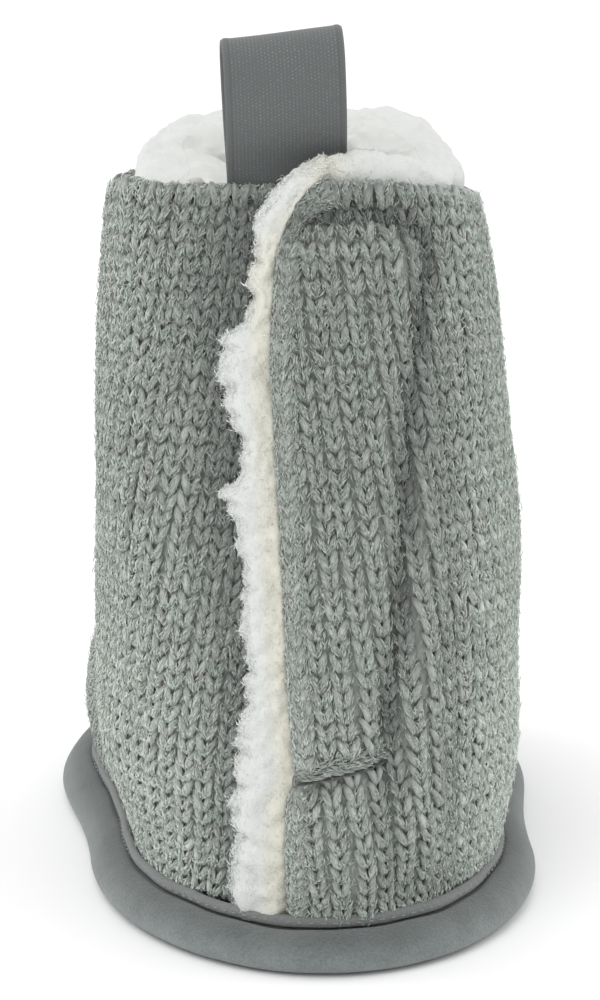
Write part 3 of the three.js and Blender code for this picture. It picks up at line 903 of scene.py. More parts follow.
def yarn_leg(name, side):
    """One leg of a knit stitch, 2.65 mm wide and 2.15 mm high as a pair: it comes out from behind the stitch
    below, swells, leans outwards and goes in behind the stitch above."""
    centres = [
        (0.10, -1.75, -0.80),
        (0.17, -1.35, -0.34),
        (0.36, -0.64, 0.16),
        (0.63, 0.20, 0.28),
        (0.90, 1.00, 0.06),
        (1.06, 1.52, -0.40),
        (1.10, 1.85, -0.85),
    ]
    centres = [(side * x, y, z) for x, y, z in centres]
    wide, thick = (0.32, 0.46, 0.52, 0.46, 0.30), (0.30, 0.42, 0.46, 0.40, 0.28)
    return tube_shape(name, centres, wide, thick, 6, (0.2, 0.75, 1.0, 0.75, 0.15))


def fibre_pair():
    """Two fine loose fibres, one millimetre long and one tenth thick, bent either way."""
    pair = []
    for name, bend in (("fibre_a", 0.1), ("fibre_b", -0.15)):
        centres = [(0, -0.05, -0.12), (bend, 0.45, 0.2), (-bend, 1, 0.2)]
        pair.append(tube_shape(name, centres, (0.06,), (0.06,), 3, (1,)))
    return pair


def strand_pair():
    """Two short strands of yarn, one millimetre long and one tenth thick, bent either way, their ends sunk."""
    pair = []
    for name, bend in (("strand_a", 0.04), ("strand_b", -0.04)):
        centres = [(0, -0.5, -0.1), (bend, 0, 0.04), (0, 0.5, -0.1)]
        pair.append(tube_shape(name, centres, (0.065,), (0.05,), 3, (1,)))
    return pair


def thread_shape(name):
    """One sewn stitch of thread, one millimetre long, sunk at both ends."""
    centres = [(0, -0.55, -0.5), (0, -0.4, -0.1), (0, -0.15, 0.3), (0, 0.15, 0.3), (0, 0.4, -0.1), (0, 0.55, -0.5)]
    return tube_shape(name, centres, (0.35, 0.5, 0.5, 0.35), (0.35, 0.5, 0.5, 0.35), 6, (1, 1, 1, 1))


# Geometry Nodes


class Grower(Tree):
    """A Geometry Nodes tree: a mesh of places and their named values in, dressed shapes out."""

    def __init__(self, name, **kinds):
        super().__init__(bpy.data.node_groups.new(name, "GeometryNodeTree"))
        self.inputs = {}
        for key, kind in {"geometry": "Geometry", **kinds, "seed": "Int", "finish": "Material"}.items():
            self.inputs[key] = self.socket(key.title(), "INPUT", kind)
        self.socket("Geometry", "OUTPUT", "Geometry")
        entry = self.tree.nodes.new("NodeGroupInput")
        self.given = {key: Socket(self, entry.outputs[index]) for index, key in enumerate(self.inputs)}

    def socket(self, name, way, kind):
        made = self.tree.interface.new_socket(name=name, in_out=way, socket_type=f"NodeSocket{kind}")
        return made.identifier

    def named(self, name, kind="FLOAT_VECTOR"):
        return self.node("GeometryNodeInputNamedAttribute", {"data_type": kind}, {"Name": name})

    def random(self, low, high, seed):
        return self.node("FunctionNodeRandomValue", {"data_type": "FLOAT"}, {2: low, 3: high, 8: seed}, output=1)

    def scaled(self, vector, share):
        return self.node("ShaderNodeVectorMath", {"operation": "SCALE"}, {0: vector, "Scale": share})

    def standing(self, upward):
        """A rotation that faces as its place does and stands along a vector."""
        kind = "FunctionNodeAlignRotationToVector"
        facing = self.node(kind, {"axis": "Z"}, {"Vector": self.named("facing")})
        return self.node(kind, {"axis": "Y", "pivot_axis": "Z"}, {"Rotation": facing, "Vector": upward})

    def shape(self, key):
        sockets = {"Object": self.given[key]}
        return self.node("GeometryNodeObjectInfo", {"transform_space": "ORIGINAL"}, sockets, output=4)

    def dress(self, shapes):
        """Makes the shapes real, gives them their finish and hands them out."""
        solid = self.node("GeometryNodeRealizeInstances", None, {0: shapes})
        sockets = {"Geometry": solid, "Material": self.given["finish"]}
        dressed = self.node("GeometryNodeSetMaterial", None, sockets)
        leave = self.tree.nodes.new("NodeGroupOutput")
        self.tree.links.new(dressed.link, leave.inputs[0])
        return self.tree, self.inputs


def planting_tree():
    """Sets one of two shapes on each point, by the point's own facing, upright and size, a little unevenly."""
    tree = Grower("Planted Shapes", first="Object", second="Object", tilt="Float", spread="Float")
    given = tree.given
    points = tree.node("GeometryNodeMeshToPoints", {"mode": "VERTICES"}, {"Mesh": given["geometry"]})
    points = tree.node(
        "GeometryNodeStoreNamedAttribute",
        {"data_type": "FLOAT", "domain": "POINT"},
        {"Geometry": points, "Name": "tone", "Value": tree.random(0.0, 1.0, given["seed"])},
    )
    swing = tree.node(
        "FunctionNodeRandomValue",
        {"data_type": "FLOAT_VECTOR"},
        {0: (-1.0, -1.0, -1.0), 1: (1.0, 1.0, 1.0), 8: given["seed"] + 1},
    )
    swing = tree.node("FunctionNodeEulerToRotation", None, {0: tree.scaled(swing, given["tilt"])})
    sockets = {"Rotation": tree.standing(tree.named("upward")), "Rotate By": swing}
    turned = tree.node("FunctionNodeRotateRotation", {"rotation_space": "LOCAL"}, sockets)
    share = 1 + tree.random(-1.0, 1.0, given["seed"] + 2) * given["spread"]
    placed = {"Points": points, "Rotation": turned, "Scale": tree.scaled(tree.named("size"), share)}
    kind = tree.named("kind", "INT")
    joined = tree.tree.nodes.new("GeometryNodeJoinGeometry")
    for index, key in enumerate(("first", "second")):
        chosen = tree.node("FunctionNodeCompare", {"data_type": "INT", "operation": "EQUAL"}, {2: kind, 3: index})
        sockets = {**placed, "Selection": chosen, "Instance": tree.shape(key)}
        branch = tree.node("GeometryNodeInstanceOnPoints", None, sockets)
        tree.tree.links.new(branch.link, joined.inputs[0])
    return tree.dress(Socket(tree, joined.outputs[0]))


def seam_tree():
    """Sets thread stitches at even distances along a curve."""
    tree = Grower("Seam Stitches", shape="Object", spacing="Float", length="Float", thread="Float")
    given = tree.given
    path = tree.node("GeometryNodeMeshToCurve", None, {0: given["geometry"]})
    run = {"Curve": path, "Length": given["spacing"]}
    points = tree.node("GeometryNodeCurveToPoints", {"mode": "LENGTH"}, run)
    lying = tree.standing(Socket(tree, points.link.node.outputs["Tangent"]))
    stretch = given["length"] * tree.random(0.85, 1.15, given["seed"])
    size = tree.node("ShaderNodeCombineXYZ", None, {0: given["thread"], 1: stretch, 2: given["thread"]})
    sockets = {"Points": points, "Instance": tree.shape("shape"), "Rotation": lying, "Scale": size}
    return tree.dress(tree.node("GeometryNodeInstanceOnPoints", None, sockets))


def grown(name, carrier, tree_maker, values, shapes):
    """Runs a node tree on a carrier and keeps the result as a plain mesh. Carrier and shapes are thrown away."""
    group, inputs = tree_maker()
    modifier = carrier.modifiers.new(name, "NODES")
    modifier.node_group = group
    for key, value in values.items():
        modifier[inputs[key]] = value
    evaluated = carrier.evaluated_get(bpy.context.evaluated_depsgraph_get())
    mesh = bpy.data.meshes.new_from_object(evaluated)
    mesh.name = name
    carrier.modifiers.remove(modifier)
    for spare in (carrier, *shapes):
        bpy.data.objects.remove(spare)
    if len(mesh.polygons) == 0:
        raise RuntimeError(f"{name} came out empty")
    for spare in ("facing", "upward", "size", "kind"):
        if spare in mesh.attributes:
            mesh.attributes.remove(mesh.attributes[spare])
    piece = bpy.data.objects.new(name, mesh)
    bpy.context.scene.collection.objects.link(piece)
    return piece


def planted(name, points, facing, upward, size, kind, shade, shapes, finish, tilt, spread, seed):
    """A piece made of two shapes set on many points, all in millimetres."""
    carrier = make_piece(
        f"{name}_places",
        points,
        [],
        [],
        {
            "facing": facing,
            "upward": upward,
            "size": np.broadcast_to(size, np.shape(points)),
            "kind": np.asarray(kind, np.int32),
            "shade": np.asarray(shade, float),
        },
    )
    values = {
        "first": shapes[0], "second": shapes[1], "tilt": tilt, "spread": spread, "seed": seed, "finish": finish,
    }
    return grown(name, carrier, planting_tree, values, shapes)


class Places:
    """Gathers the places of stitches, strands or fibres."""

    def __init__(self):
        self.points, self.facing, self.upward = [], [], []
        self.sizes, self.kinds, self.shades = [], [], []

    def add(self, points, facing, upward, size, kind, shade=1.0):
        count = len(points)
        self.points.append(points)
        self.facing.append(facing)
        self.upward.append(upward)
        self.sizes.append(np.broadcast_to(np.asarray(size, float), (count, 3)))
        self.kinds.append(np.broadcast_to(kind, (count,)))
        self.shades.append(np.broadcast_to(np.asarray(shade, float), (count,)))

    def add_stitches(self, points, facing, upward, size, shade=1.0):
        """A stitch is two legs, one on each side of its wale."""
        self.add(points, facing, upward, size, 0, shade)
        self.add(points, facing, upward, size, 1, shade)

    def plant(self, name, shapes, finish, tilt, spread, seed):
        parts = (self.points, self.facing, self.upward, self.sizes, self.kinds, self.shades)
        return planted(name, *[np.concatenate(part) for part in parts], shapes, finish, tilt, spread, seed)


# The knit's lattice: wales run up the wall and courses run round it
FIRST_COURSE = 7.2
FOREFOOT_SHADE = 1.2  # how much lighter the forefoot's yarn is painted, to match the painted light on the shaft
WALE_GAP = 0.94  # width of a stitch against the distance between wales
LAP_ROUND = 32  # round the wall, more than the lap needs
UNDER_LEAN = 0.2  # how far the wales lean, round the wall for each millimetre up
FLAP_LEAN = 0.06
UNDER_FIRST_WALE = 16.0  # round the wall, at the collar
FLAP_FIRST_WALE = -11.4


def wale_pitch(height):
    """The knit is stretched a little more over the heel than at the collar."""
    pitch = sizes().stitch_width / MM
    return pitch * mix(1.05, 0.94, ramp(height, 30, 100))


def course_heights():
    """Heights of the courses, evenly spaced from the sole to the collar."""
    pitch = sizes().stitch_height / MM
    count = int(round((COLLAR_HEIGHT - 0.2 - FIRST_COURSE) / pitch))
    return FIRST_COURSE + (COLLAR_HEIGHT - 0.2 - FIRST_COURSE) * np.arange(count + 1) / count


class Knit:
    """Gathers the stitches of one panel and the loose strands that lie on them."""

    def __init__(self, name, seed):
        self.name = name
        self.seed = seed
        self.dice = np.random.default_rng(seed)
        self.stitches = Places()
        self.strands = {"left": Places(), "right": Places()}
        self.strand_count = sizes().strand_count

    def add(self, points, across, up, normal, size, shade=1.0, loose=None):
        self.stitches.add_stitches(points, normal, up, size, shade)
        if loose is not None:
            points, across, up, normal, shade = (rows[loose] for rows in (points, across, up, normal, shade))
        for leg in self.strands:
            for _ in range(self.strand_count):
                self.add_strands(points, across, up, normal, leg, shade)

    def add_strands(self, points, across, up, normal, leg, shade):
        """One strand on each stitch's left or right leg, somewhere along it and across it."""
        count = len(points)
        side = -1 if leg == "left" else 1
        along = self.dice.uniform(-0.9, 0.9, count)
        beside = np.clip(self.dice.normal(0, 0.36, count), -0.8, 0.8)
        slope = side * 0.33 + self.dice.normal(0, 0.34, count)
        crest = 0.37 - 0.26 * along**2 + 0.48 * np.sqrt(1 - beside**2)
        at = points + across * (side * (0.57 + 0.3 * along) + beside)[:, None]
        at = at + up * (along * 0.95)[:, None] + normal * crest[:, None]
        thick = self.dice.uniform(0.9, 2.2, count)
        size = np.stack([thick, self.dice.uniform(0.8, 2.0, count), thick], -1)
        lying = unit(up + across * slope[:, None])
        self.strands[leg].add(at, normal, lying, size, self.dice.integers(0, 2, count), shade)

    def sew(self):
        """Makes the panel's stitches and strands real."""
        shapes = (yarn_leg("leg_left", -1), yarn_leg("leg_right", 1))
        stitches = self.stitches.plant(f"knit_{self.name}", shapes, heather_yarn(), 0.14, 0.12, self.seed)
        sew_in(stitches, "upper")
        finish = loose_strand()
        for turn, (leg, strands) in enumerate(self.strands.items()):
            name = f"knit_{self.name}_strands_{leg}"
            piece = strands.plant(name, strand_pair(), finish, 0.12, 0.15, self.seed + 1 + turn)
            sew_in(piece, "upper")


def meet_front_seam(wales, height, pitch):
    """The wales short of the seam down the shaft's front, moved so that the last of them lies beside it."""
    fallen = ramp(height, COLLAR_HEIGHT - COLLAR_EASE, COLLAR_HEIGHT) * COLLAR_DROP
    half = float(WALL.half_girth_at(height - fallen))
    wales = wales[np.abs(wales) < half - 0.8]
    gap = half - np.max(np.abs(wales)) - 0.5 * pitch
    return wales + np.sign(wales) * gap * ramp(np.abs(wales), half - 18, half - 1)


def panel_wales(height, wale_start, direction):
    """A panel's wales at one height, counted from a line that may lean, and the distance between them."""
    pitch = float(wale_pitch(height))
    order = np.arange(int((WALL.half_girth_at(height) + LAP_ROUND) / pitch))
    return meet_front_seam(wale_start(height) + direction * pitch * (order + 0.5), height, pitch), pitch


def knit_panel(knit, skin, wale_start, direction, keep, shade, loose=None):
    """Stitches of a panel, its wales counted from a line that may lean."""
    nominal = sizes().stitch_width / MM
    for course, height in enumerate(course_heights()):
        wales, pitch = panel_wales(height, wale_start, direction)
        order = np.arange(len(wales))
        wales = wales + 0.1 * np.sin(1.7 * order + 0.9 * course) + 0.1 * np.sin(0.31 * course + 2.3 * order)
        heights = eased(wales, height + 0.14 * np.sin(0.8 * order + 1.9 * course))
        inside = (vamp_seam_gap(WALL.point(wales, heights)) < -0.3) & keep(wales, heights)
        wales, heights = wales[inside], heights[inside]
        points, across, up, normal = skin_frame(skin, wales, heights)
        lean = float(wale_start(height + 1) - wale_start(height - 1)) / 2
        size = (pitch / nominal * sizes().yarn_width * WALE_GAP, 1, 1)
        bare = None if loose is None else loose(wales, heights)
        knit.add(points, across, unit(up + across * lean), normal, size, shade(wales, heights), bare)


def roll_collar(knit, skin, wale_start, direction, keep):
    """Two more rows of stitches, rolled over the collar's edge."""
    height = COLLAR_HEIGHT
    wales, _ = panel_wales(height, wale_start, direction)
    wales = wales[keep(wales, np.full(len(wales), height))]
    points, across, up, normal = skin_frame(skin, wales, eased(wales, height) - 0.5)
    for lean, back, rise in ((50, 0.75, 1.0), (95, 1.6, 1.1)):
        angle = math.radians(lean)
        facing = normal * math.cos(angle) + up * math.sin(angle)
        upward = up * math.cos(angle) - normal * math.sin(angle)
        knit.add(points + up * rise - normal * back, across, upward, facing, (1, 0.9, 0.9), painted_light(wales, height))


class BOOTIE_OT_knit_flap(bpy.types.Operator):
    """Knit the panel with the flap, round the wearer's right side"""

    bl_idname = "bootie.knit_flap"
    bl_label = "Knit Flap Panel"

    def execute(self, context):
        def first_wale(height):
            return FLAP_FIRST_WALE - FLAP_LEAN * (height - COLLAR_HEIGHT)

        def on_flap(wales, heights):
            away, side = distance_to_line(wales, heights, SLIT_LINE)
            return (wales > flap_edge(heights) + 1.0) & (away > np.where(side > 0, SLIT_ABOVE, SLIT_BELOW))

        def off_slit(wales, heights):
            return distance_to_line(wales, heights, SLIT_LINE)[0] > SLIT_CALM

        knit = Knit("flap_panel", 11)
        knit_panel(knit, flap_skin, first_wale, 1, on_flap, flap_shade, off_slit)
        roll_collar(knit, flap_skin, first_wale, 1, lambda wales, heights: wales > flap_edge(heights) + 1.5)
        self.turn_edge(knit)
        self.line_slit(knit)
        knit.sew()
        return {"FINISHED"}

    def turn_edge(self, knit):
        """Stitches along the flap's edge, turned over it."""
        rows = np.linspace(FIRST_COURSE, COLLAR_HEIGHT + 0.4, 800)
        lengths = run_lengths(np.hypot(np.diff(rows), np.diff(flap_edge(rows))))
        rows = np.interp(np.arange(0, lengths[-1], 1.7), lengths, rows)
        rows = rows[distance_to_line(flap_edge(rows) + 0.75, rows, SLIT_LINE)[0] > 0.8]
        edge = flap_edge(rows)
        heights = eased(edge, rows) - 0.3 * ramp(rows, 97, 100)
        points, _, _, normal = skin_frame(flap_skin, edge + 0.75, heights)
        run = unit(np.gradient(points, axis=0))
        across = unit(np.cross(run, normal))
        for lean, side, sink in ((0, -0.3, 0.1), (38, 0.15, 0.25), (80, 0.62, 0.95)):
            angle = math.radians(lean)
            facing = normal * math.cos(angle) - across * math.sin(angle)
            beside = across * math.cos(angle) + normal * math.sin(angle)
            shade = np.maximum(flap_shade(edge + 0.75, rows), 0.85)
            knit.add(points - across * side - normal * sink, beside, run, facing, (1, 0.95, 0.95), shade)

    def line_slit(self, knit):
        """Rows of small stitches along the slit: one in it, painted near black as the slit's painted shadow, and
        two above it.
        """
        rounds = np.arange(SLIT_LINE[0, 0] + 2.0, SLIT_LINE[-1, 0] + 0.3, 1.2)
        line = np.interp(rounds, SLIT_LINE[:, 0], SLIT_LINE[:, 1])
        _, _, _, normal = skin_frame(flap_skin, rounds, line + 3.0)
        for rise, stand, width, shade in ((-0.3, 0.95, 0.4, 0.12), (0.55, -0.1, 0.5, 0.9), (1.4, -0.2, 0.65, 1.0)):
            points = flap_skin(rounds, line + rise) + normal * stand
            run = unit(np.gradient(points, axis=0))
            loose = np.full(len(points), rise > 1)
            shades = np.full(len(points), shade)
            knit.add(points, unit(np.cross(run, normal)), run, normal, (width, 0.7, width), shades, loose)


class BOOTIE_OT_knit_under(bpy.types.Operator):
    """Knit the panel that goes behind the flap, round the wearer's left side"""

    bl_idname = "bootie.knit_under"
    bl_label = "Knit Under Panel"

    def execute(self, context):
        def leaning(height):
            return UNDER_FIRST_WALE + UNDER_LEAN * (height - COLLAR_HEIGHT)

        def left_of_flap(wales, heights):
            return wales < flap_edge(heights) + 1.5

        knit = Knit("under_panel", 23)
        knit_panel(knit, under_skin, leaning, -1, left_of_flap, under_shade)
        roll_collar(knit, under_skin, leaning, -1, left_of_flap)
        knit.sew()
        return {"FINISHED"}


def away_from_foot(points, normal):
    """Normals of the forefoot, all turned outwards."""
    outward = points - np.array([0, 10, 0])
    return np.where(np.sum(normal * outward, -1, keepdims=True) < 0, -normal, normal)


class BOOTIE_OT_knit_forefoot(bpy.types.Operator):
    """Knit the forefoot, its wales running from the toe to the instep"""

    bl_idname = "bootie.knit_forefoot"
    bl_label = "Knit Forefoot"

    def execute(self, context):
        knit = Knit("forefoot", 37)
        width, height = sizes().stitch_width / MM, sizes().stitch_height / MM
        courses = np.arange(0.5, VAMP.length - 1.0, height)
        for course, reached in enumerate(courses):
            reach = float(VAMP.reach_at(reached))
            count = int((reach - 1.2) / width)
            order = np.arange(2 * count + 1)
            girths = (order - count) * width + 0.12 * np.sin(1.3 * order + course)
            rows = np.full(len(girths), reached)
            points, across, along, normal = skin_frame(vamp_skin, girths, rows)
            knit.add(points, across, -along, away_from_foot(points, normal), (1, 1, 1), FOREFOOT_SHADE)
        reach = float(VAMP.reach_at(0)) - 1.5
        girths = np.arange(-reach, reach, 1.7)
        points, across, _, normal = skin_frame(vamp_skin, girths, np.zeros(len(girths)))
        normal = away_from_foot(points, normal)
        knit.add(points - normal * 0.75, unit(np.cross(across, normal)), across, normal, (0.8, 0.85, 0.8), 0.95)
        knit.sew()
        return {"FINISHED"}


def sides_round(stations, height):
    """Signed distance round of stations counted past the front, and which lie on the under panel."""
    half = float(WALL.half_girth_at(height))
    on_under = stations > half
    return np.where(on_under, stations - 2 * half, stations), on_under


def spiral_stations(height, first, count_flap, count_wall, count_under):
    """Stations round the wall from the flap's edge to the under panel's hidden end."""
    girth = 2 * float(WALL.half_girth_at(height))
    turn = girth + UNDER_FULL - UNDER_RISE
    return np.concatenate(
        [
            np.linspace(first, UNDER_END + FLAP_FALL, count_flap, endpoint=False),
            np.linspace(UNDER_END + FLAP_FALL, turn, count_wall, endpoint=False),
            np.linspace(turn, girth + UNDER_END, count_under),
        ]
    )


def spiral_offset(stations, height):
    """Signed distance round, eased height, and how far the knit's outer face stands off the plain wall."""
    signed, on_under = sides_round(stations, height)
    rows = eased(signed, np.full(len(stations), height))
    flap = flap_lift(signed, rows) + flap_relief(signed, rows)
    under = under_dip(signed, rows)
    return signed, rows, np.where(on_under, under, flap) + sway(signed, rows) + seam_troughs(signed, rows)


class BOOTIE_OT_knit_backing(bpy.types.Operator):
    """Make the cloth behind the stitches, closed from face to face"""

    bl_idname = "bootie.knit_backing"
    bl_label = "Knit Backing"

    def execute(self, context):
        rings, shades = [], []
        heights = np.concatenate([[5.7], np.arange(7, 99, 1.0), [99.4]])
        for height in heights:
            stations = spiral_stations(height, float(flap_edge(height)) + 0.5, 40, 90, 30)
            signed, rows, offset = spiral_offset(stations, height)
            half = float(WALL.half_girth_at(height))
            forefoot = 0.65 * ramp(vamp_seam_gap(WALL.point(signed, rows)), -2.5, -0.5)
            front = np.exp(-(((half - np.abs(signed)) / 2.5) ** 2))
            offset = offset - 0.3 - 1.2 * np.maximum(forefoot, front)
            outer = wall_point(signed, rows, offset)
            inner = wall_point(signed, rows, offset - 1.5)
            rings.append(np.concatenate([outer, inner[::-1]]))
            # The outer face carries the panels' painted light and shade. The inner face gets none.
            darker = np.where(stations > half, under_shade(signed, rows), flap_shade(signed, rows))
            shades.append(np.concatenate([darker, np.ones(len(stations))]))
        size = len(rings[0])
        faces = loft_faces(len(rings), size, capped=True)
        marks = {"shade": np.concatenate(shades)}
        piece = make_piece("knit_backing", np.concatenate(rings), faces, [knit_ground()], marks)
        sew_in(piece, "upper")
        return {"FINISHED"}


class BOOTIE_OT_knit_fuzz(bpy.types.Operator):
    """Grow the loose fibres that lie along the stitches and stand off the knit"""

    bl_idname = "bootie.knit_fuzz"
    bl_label = "Knit Fuzz"

    def execute(self, context):
        count = sizes().fuzz_count
        dice = np.random.default_rng(5)

        heights = dice.uniform(6.5, COLLAR_HEIGHT + 0.5, count)
        edge = flap_edge(heights) + 0.3
        rounds = edge + dice.uniform(0, 1, count) * (WALL.half_girth_at(heights) - edge)
        self.grow("knit_fuzz_flap", flap_skin, rounds, heights, flap_shade, 0.0, dice, 41)

        heights = dice.uniform(6.5, COLLAR_HEIGHT + 0.5, count)
        edge = flap_edge(heights) - 1.0
        rounds = edge - dice.uniform(0, 1, count) * (WALL.half_girth_at(heights) + edge)
        self.grow("knit_fuzz_under", under_skin, rounds, heights, under_shade, UNDER_LEAN, dice, 43)

        reached = dice.uniform(0.5, VAMP.length - 0.5, count // 2)
        girths = dice.uniform(-1, 1, count // 2) * (VAMP.reach_at(reached) - 0.5)
        self.grow("knit_fuzz_forefoot", vamp_skin, girths, reached, None, 0.0, dice, 47)
        return {"FINISHED"}

    def grow(self, name, skin, first, second, shade, lean, dice, seed):
        length = sizes().fuzz_length / MM
        if shade is not None:
            second = eased(first, second)
            keep = vamp_seam_gap(WALL.point(first, second)) < 0
            first, second = first[keep], second[keep]
        count = len(first)
        points, across, up, normal = skin_frame(skin, first, second)
        if shade is None:
            normal = away_from_foot(points, normal)
        slant = np.where(dice.uniform(0, 1, count) < 0.5, 1, -1) * dice.normal(0.45, 0.3, count)
        slant = np.where(dice.uniform(0, 1, count) < 0.25, dice.uniform(-2.5, 2.5, count), slant)
        turned = np.where(dice.uniform(0, 1, count) < 0.5, 1, -1)
        lying = unit(up + across * (slant + lean)[:, None]) * turned[:, None]
        reach = length * dice.uniform(0.5, 1.3, count)
        rise = reach * dice.uniform(0.1, 0.9, count)
        thick = dice.uniform(0.45, 0.9, count)
        size = np.stack([thick, reach, rise], -1)
        places = Places()
        stand = dice.uniform(0.35, 0.95, count)[:, None]
        darker = FOREFOOT_SHADE if shade is None else shade(first, second)
        places.add(points + normal * stand, normal, lying, size, dice.integers(0, 2, count), darker)
        sew_in(places.plant(name, fibre_pair(), loose_fibre(), 0.2, 0.1, seed), "upper")


# How far the fleece stands out beside the flap's edge: height, reach. It is narrow below the flap's corner, full
# at the foot, and uneven with tufts between.
STRIP_LINE = np.array(
    [(5, 9.6), (10, 9), (14, 8.6), (16.5, 7.4), (18.5, 7.2), (21, 8), (24, 7.6), (27, 8.2), (31.5, 7.3), (36, 6.1),
     (41, 5.4), (44, 5.7), (46.5, 6.3), (49.5, 5.5), (52, 5.3), (56, 5.8), (59.5, 6.3), (61.2, 6.8), (62.7, 8.2),
     (64, 6), (66, 4.8), (68.5, 4.3), (70.5, 5.2), (73, 6.1), (76, 6.4), (79, 6.8), (81.5, 6.7), (83.2, 6.1),
     (84.4, 3.9), (87, 3.1), (91, 2.9), (95, 3.4), (97, 4.2), (99, 5.5), (100, 6.4), (100.8, 6.9), (101.6, 6.6),
     (102.2, 5.8), (103, 4.6)]
)


def strip_reach(height):
    """How far the pile stands out beside the flap's edge, in small tufts."""
    tufts = 0.35 * np.sin(1.7 * height + 1.2 * np.sin(0.6 * height)) + 0.15 * np.sin(2.9 * height + 2)
    return np.interp(height, STRIP_LINE[:, 0], STRIP_LINE[:, 1]) + tufts * ramp(98 - height, 0, 6)


def loop_pocket(signed, height, on_under):
    """How far the lining stands back from the knit behind the pull loop's sewn ends."""
    across = 1 - ramp(np.abs(signed - LOOP_ROUND), RIBBON_WIDTH / 2 + 0.4, RIBBON_WIDTH / 2 + 3.4)
    low = COLLAR_HEIGHT - LOOP_TUCK
    return np.where(on_under, LOOP_POCKET * across * ramp(height, low - 12, low - 3), 0.0)


def fleece_roll(height):
    """How far both faces of the lining draw in as it rounds over at the top."""
    share = np.clip((height - COLLAR_HEIGHT - FLEECE_RIM + FLEECE_ROLL) / FLEECE_ROLL, 0, 1)
    return 1.7 * (1 - np.sqrt(1 - share**2))


# How much higher or lower than the plain collar the fleece stands: distance round, rise. The first goes from the
# flap's corner round the wearer's right side to the front, the second from the front round the left side.
RISE_RIGHT = np.array(
    [(-14, -2), (-4, -1.8), (0, 0.4), (4, 2), (7, 2.5), (11, 2.4), (16, 1.4), (20, 0.1), (24, -0.6), (28, -0.2),
     (32, 0.3), (40, 0.9), (50, 1.5), (60, 1.1), (68, 0.5), (79, 0.4)]
)
RISE_LEFT = np.array(
    [(-79, 0.4), (-72, 0.5), (-64, 0.4), (-58, -0.8), (-50, -2.6), (-42, -3.8), (-32, -3.4), (-24, -2.2),
     (-14, -1.4), (2, -1.2), (6, 0.8), (12, 2)]
)


def fleece_rise(signed, on_under, height):
    """The fleece stands unevenly above the collar: high over the flap's corner, low on the left side."""
    left = np.interp(signed, RISE_LEFT[:, 0], RISE_LEFT[:, 1])
    right = np.interp(signed, RISE_RIGHT[:, 0], RISE_RIGHT[:, 1])
    return np.where(on_under, left, right) * ramp(height, 90, COLLAR_HEIGHT + FLEECE_RIM)


def strip_face(rounds, heights):
    """How far the fleece beside the flap's edge stands off the plain wall: a soft cushion, thin at its tips."""
    away = flap_edge(heights) - rounds
    share = np.clip(away / strip_reach(heights), 0, 1.1)
    cushion = STRIP_PUFF * ramp(away, -0.8, 0.9) - 2.2 * ramp(share, 0.6, 1.1)
    foot = 2.0 * (1 - free_of_seam(heights)) * ramp(share, 0.0, 0.2)
    return flap_lift(rounds, heights) - KNIT - LAYER_GAP + cushion + foot


def lining_faces(stations, height):
    """Signed distance round, and where the lining's outer and inner faces stand off the plain wall."""
    signed, on_under = sides_round(stations, height)
    rows = np.full(len(stations), height)
    pocket = loop_pocket(signed, rows, on_under)
    lap = np.where(on_under, under_dip(signed, rows), flap_lift(signed, rows))
    behind = lap - KNIT - LAYER_GAP - pocket
    fall = collar_fall(signed)
    front = ramp(np.abs(signed), 54, 70)
    over = ramp(height - COLLAR_HEIGHT + fall, LAYER_GAP, FLEECE) * fall / COLLAR_DROP
    over = over * np.where(on_under, mix(0.45, 1.0, front), 1.0)
    beside = (signed < flap_edge(rows)) & ~on_under
    roll = fleece_roll(height)
    outer = np.where(beside, strip_face(signed, rows), behind + over * (KNIT + OVER_EDGE)) - roll
    lapped = 1 - ramp(stations, UNDER_END + 0.3, UNDER_END + FLAP_FALL)
    pile = mix(FLEECE, pressed_fleece(height), lapped)
    thick = FLEECE_DEEP * ramp(np.abs(signed), 14, 34) + FLEECE_FRONT * ramp(np.abs(signed), 45, 66)
    left = ramp(np.abs(signed), 12, 26) * (1 - ramp(np.abs(signed), 38, 56))
    thick = thick + np.where(on_under, FLEECE_LEFT, 0.0) * left
    deep = thick * ramp(height, PILE_LOW, PILE_FULL) * (1 - lapped)
    inner = behind - pile - deep + pocket / 2 + np.minimum(roll, (1 - lapped) * 1.5 + 0.3)
    return signed, outer, np.minimum(inner, outer - 0.3)


# Shares of the pile's reach beside the flap, from its tips to the edge, and how far the lining's two faces have
# closed together in the rings on its top
STRIP_SHARES = np.linspace(1, 0.03, 20)
TOP_CLOSING = (0.12, 0.25, 0.38, 0.52, 0.66, 0.8, 0.92, 0.98)


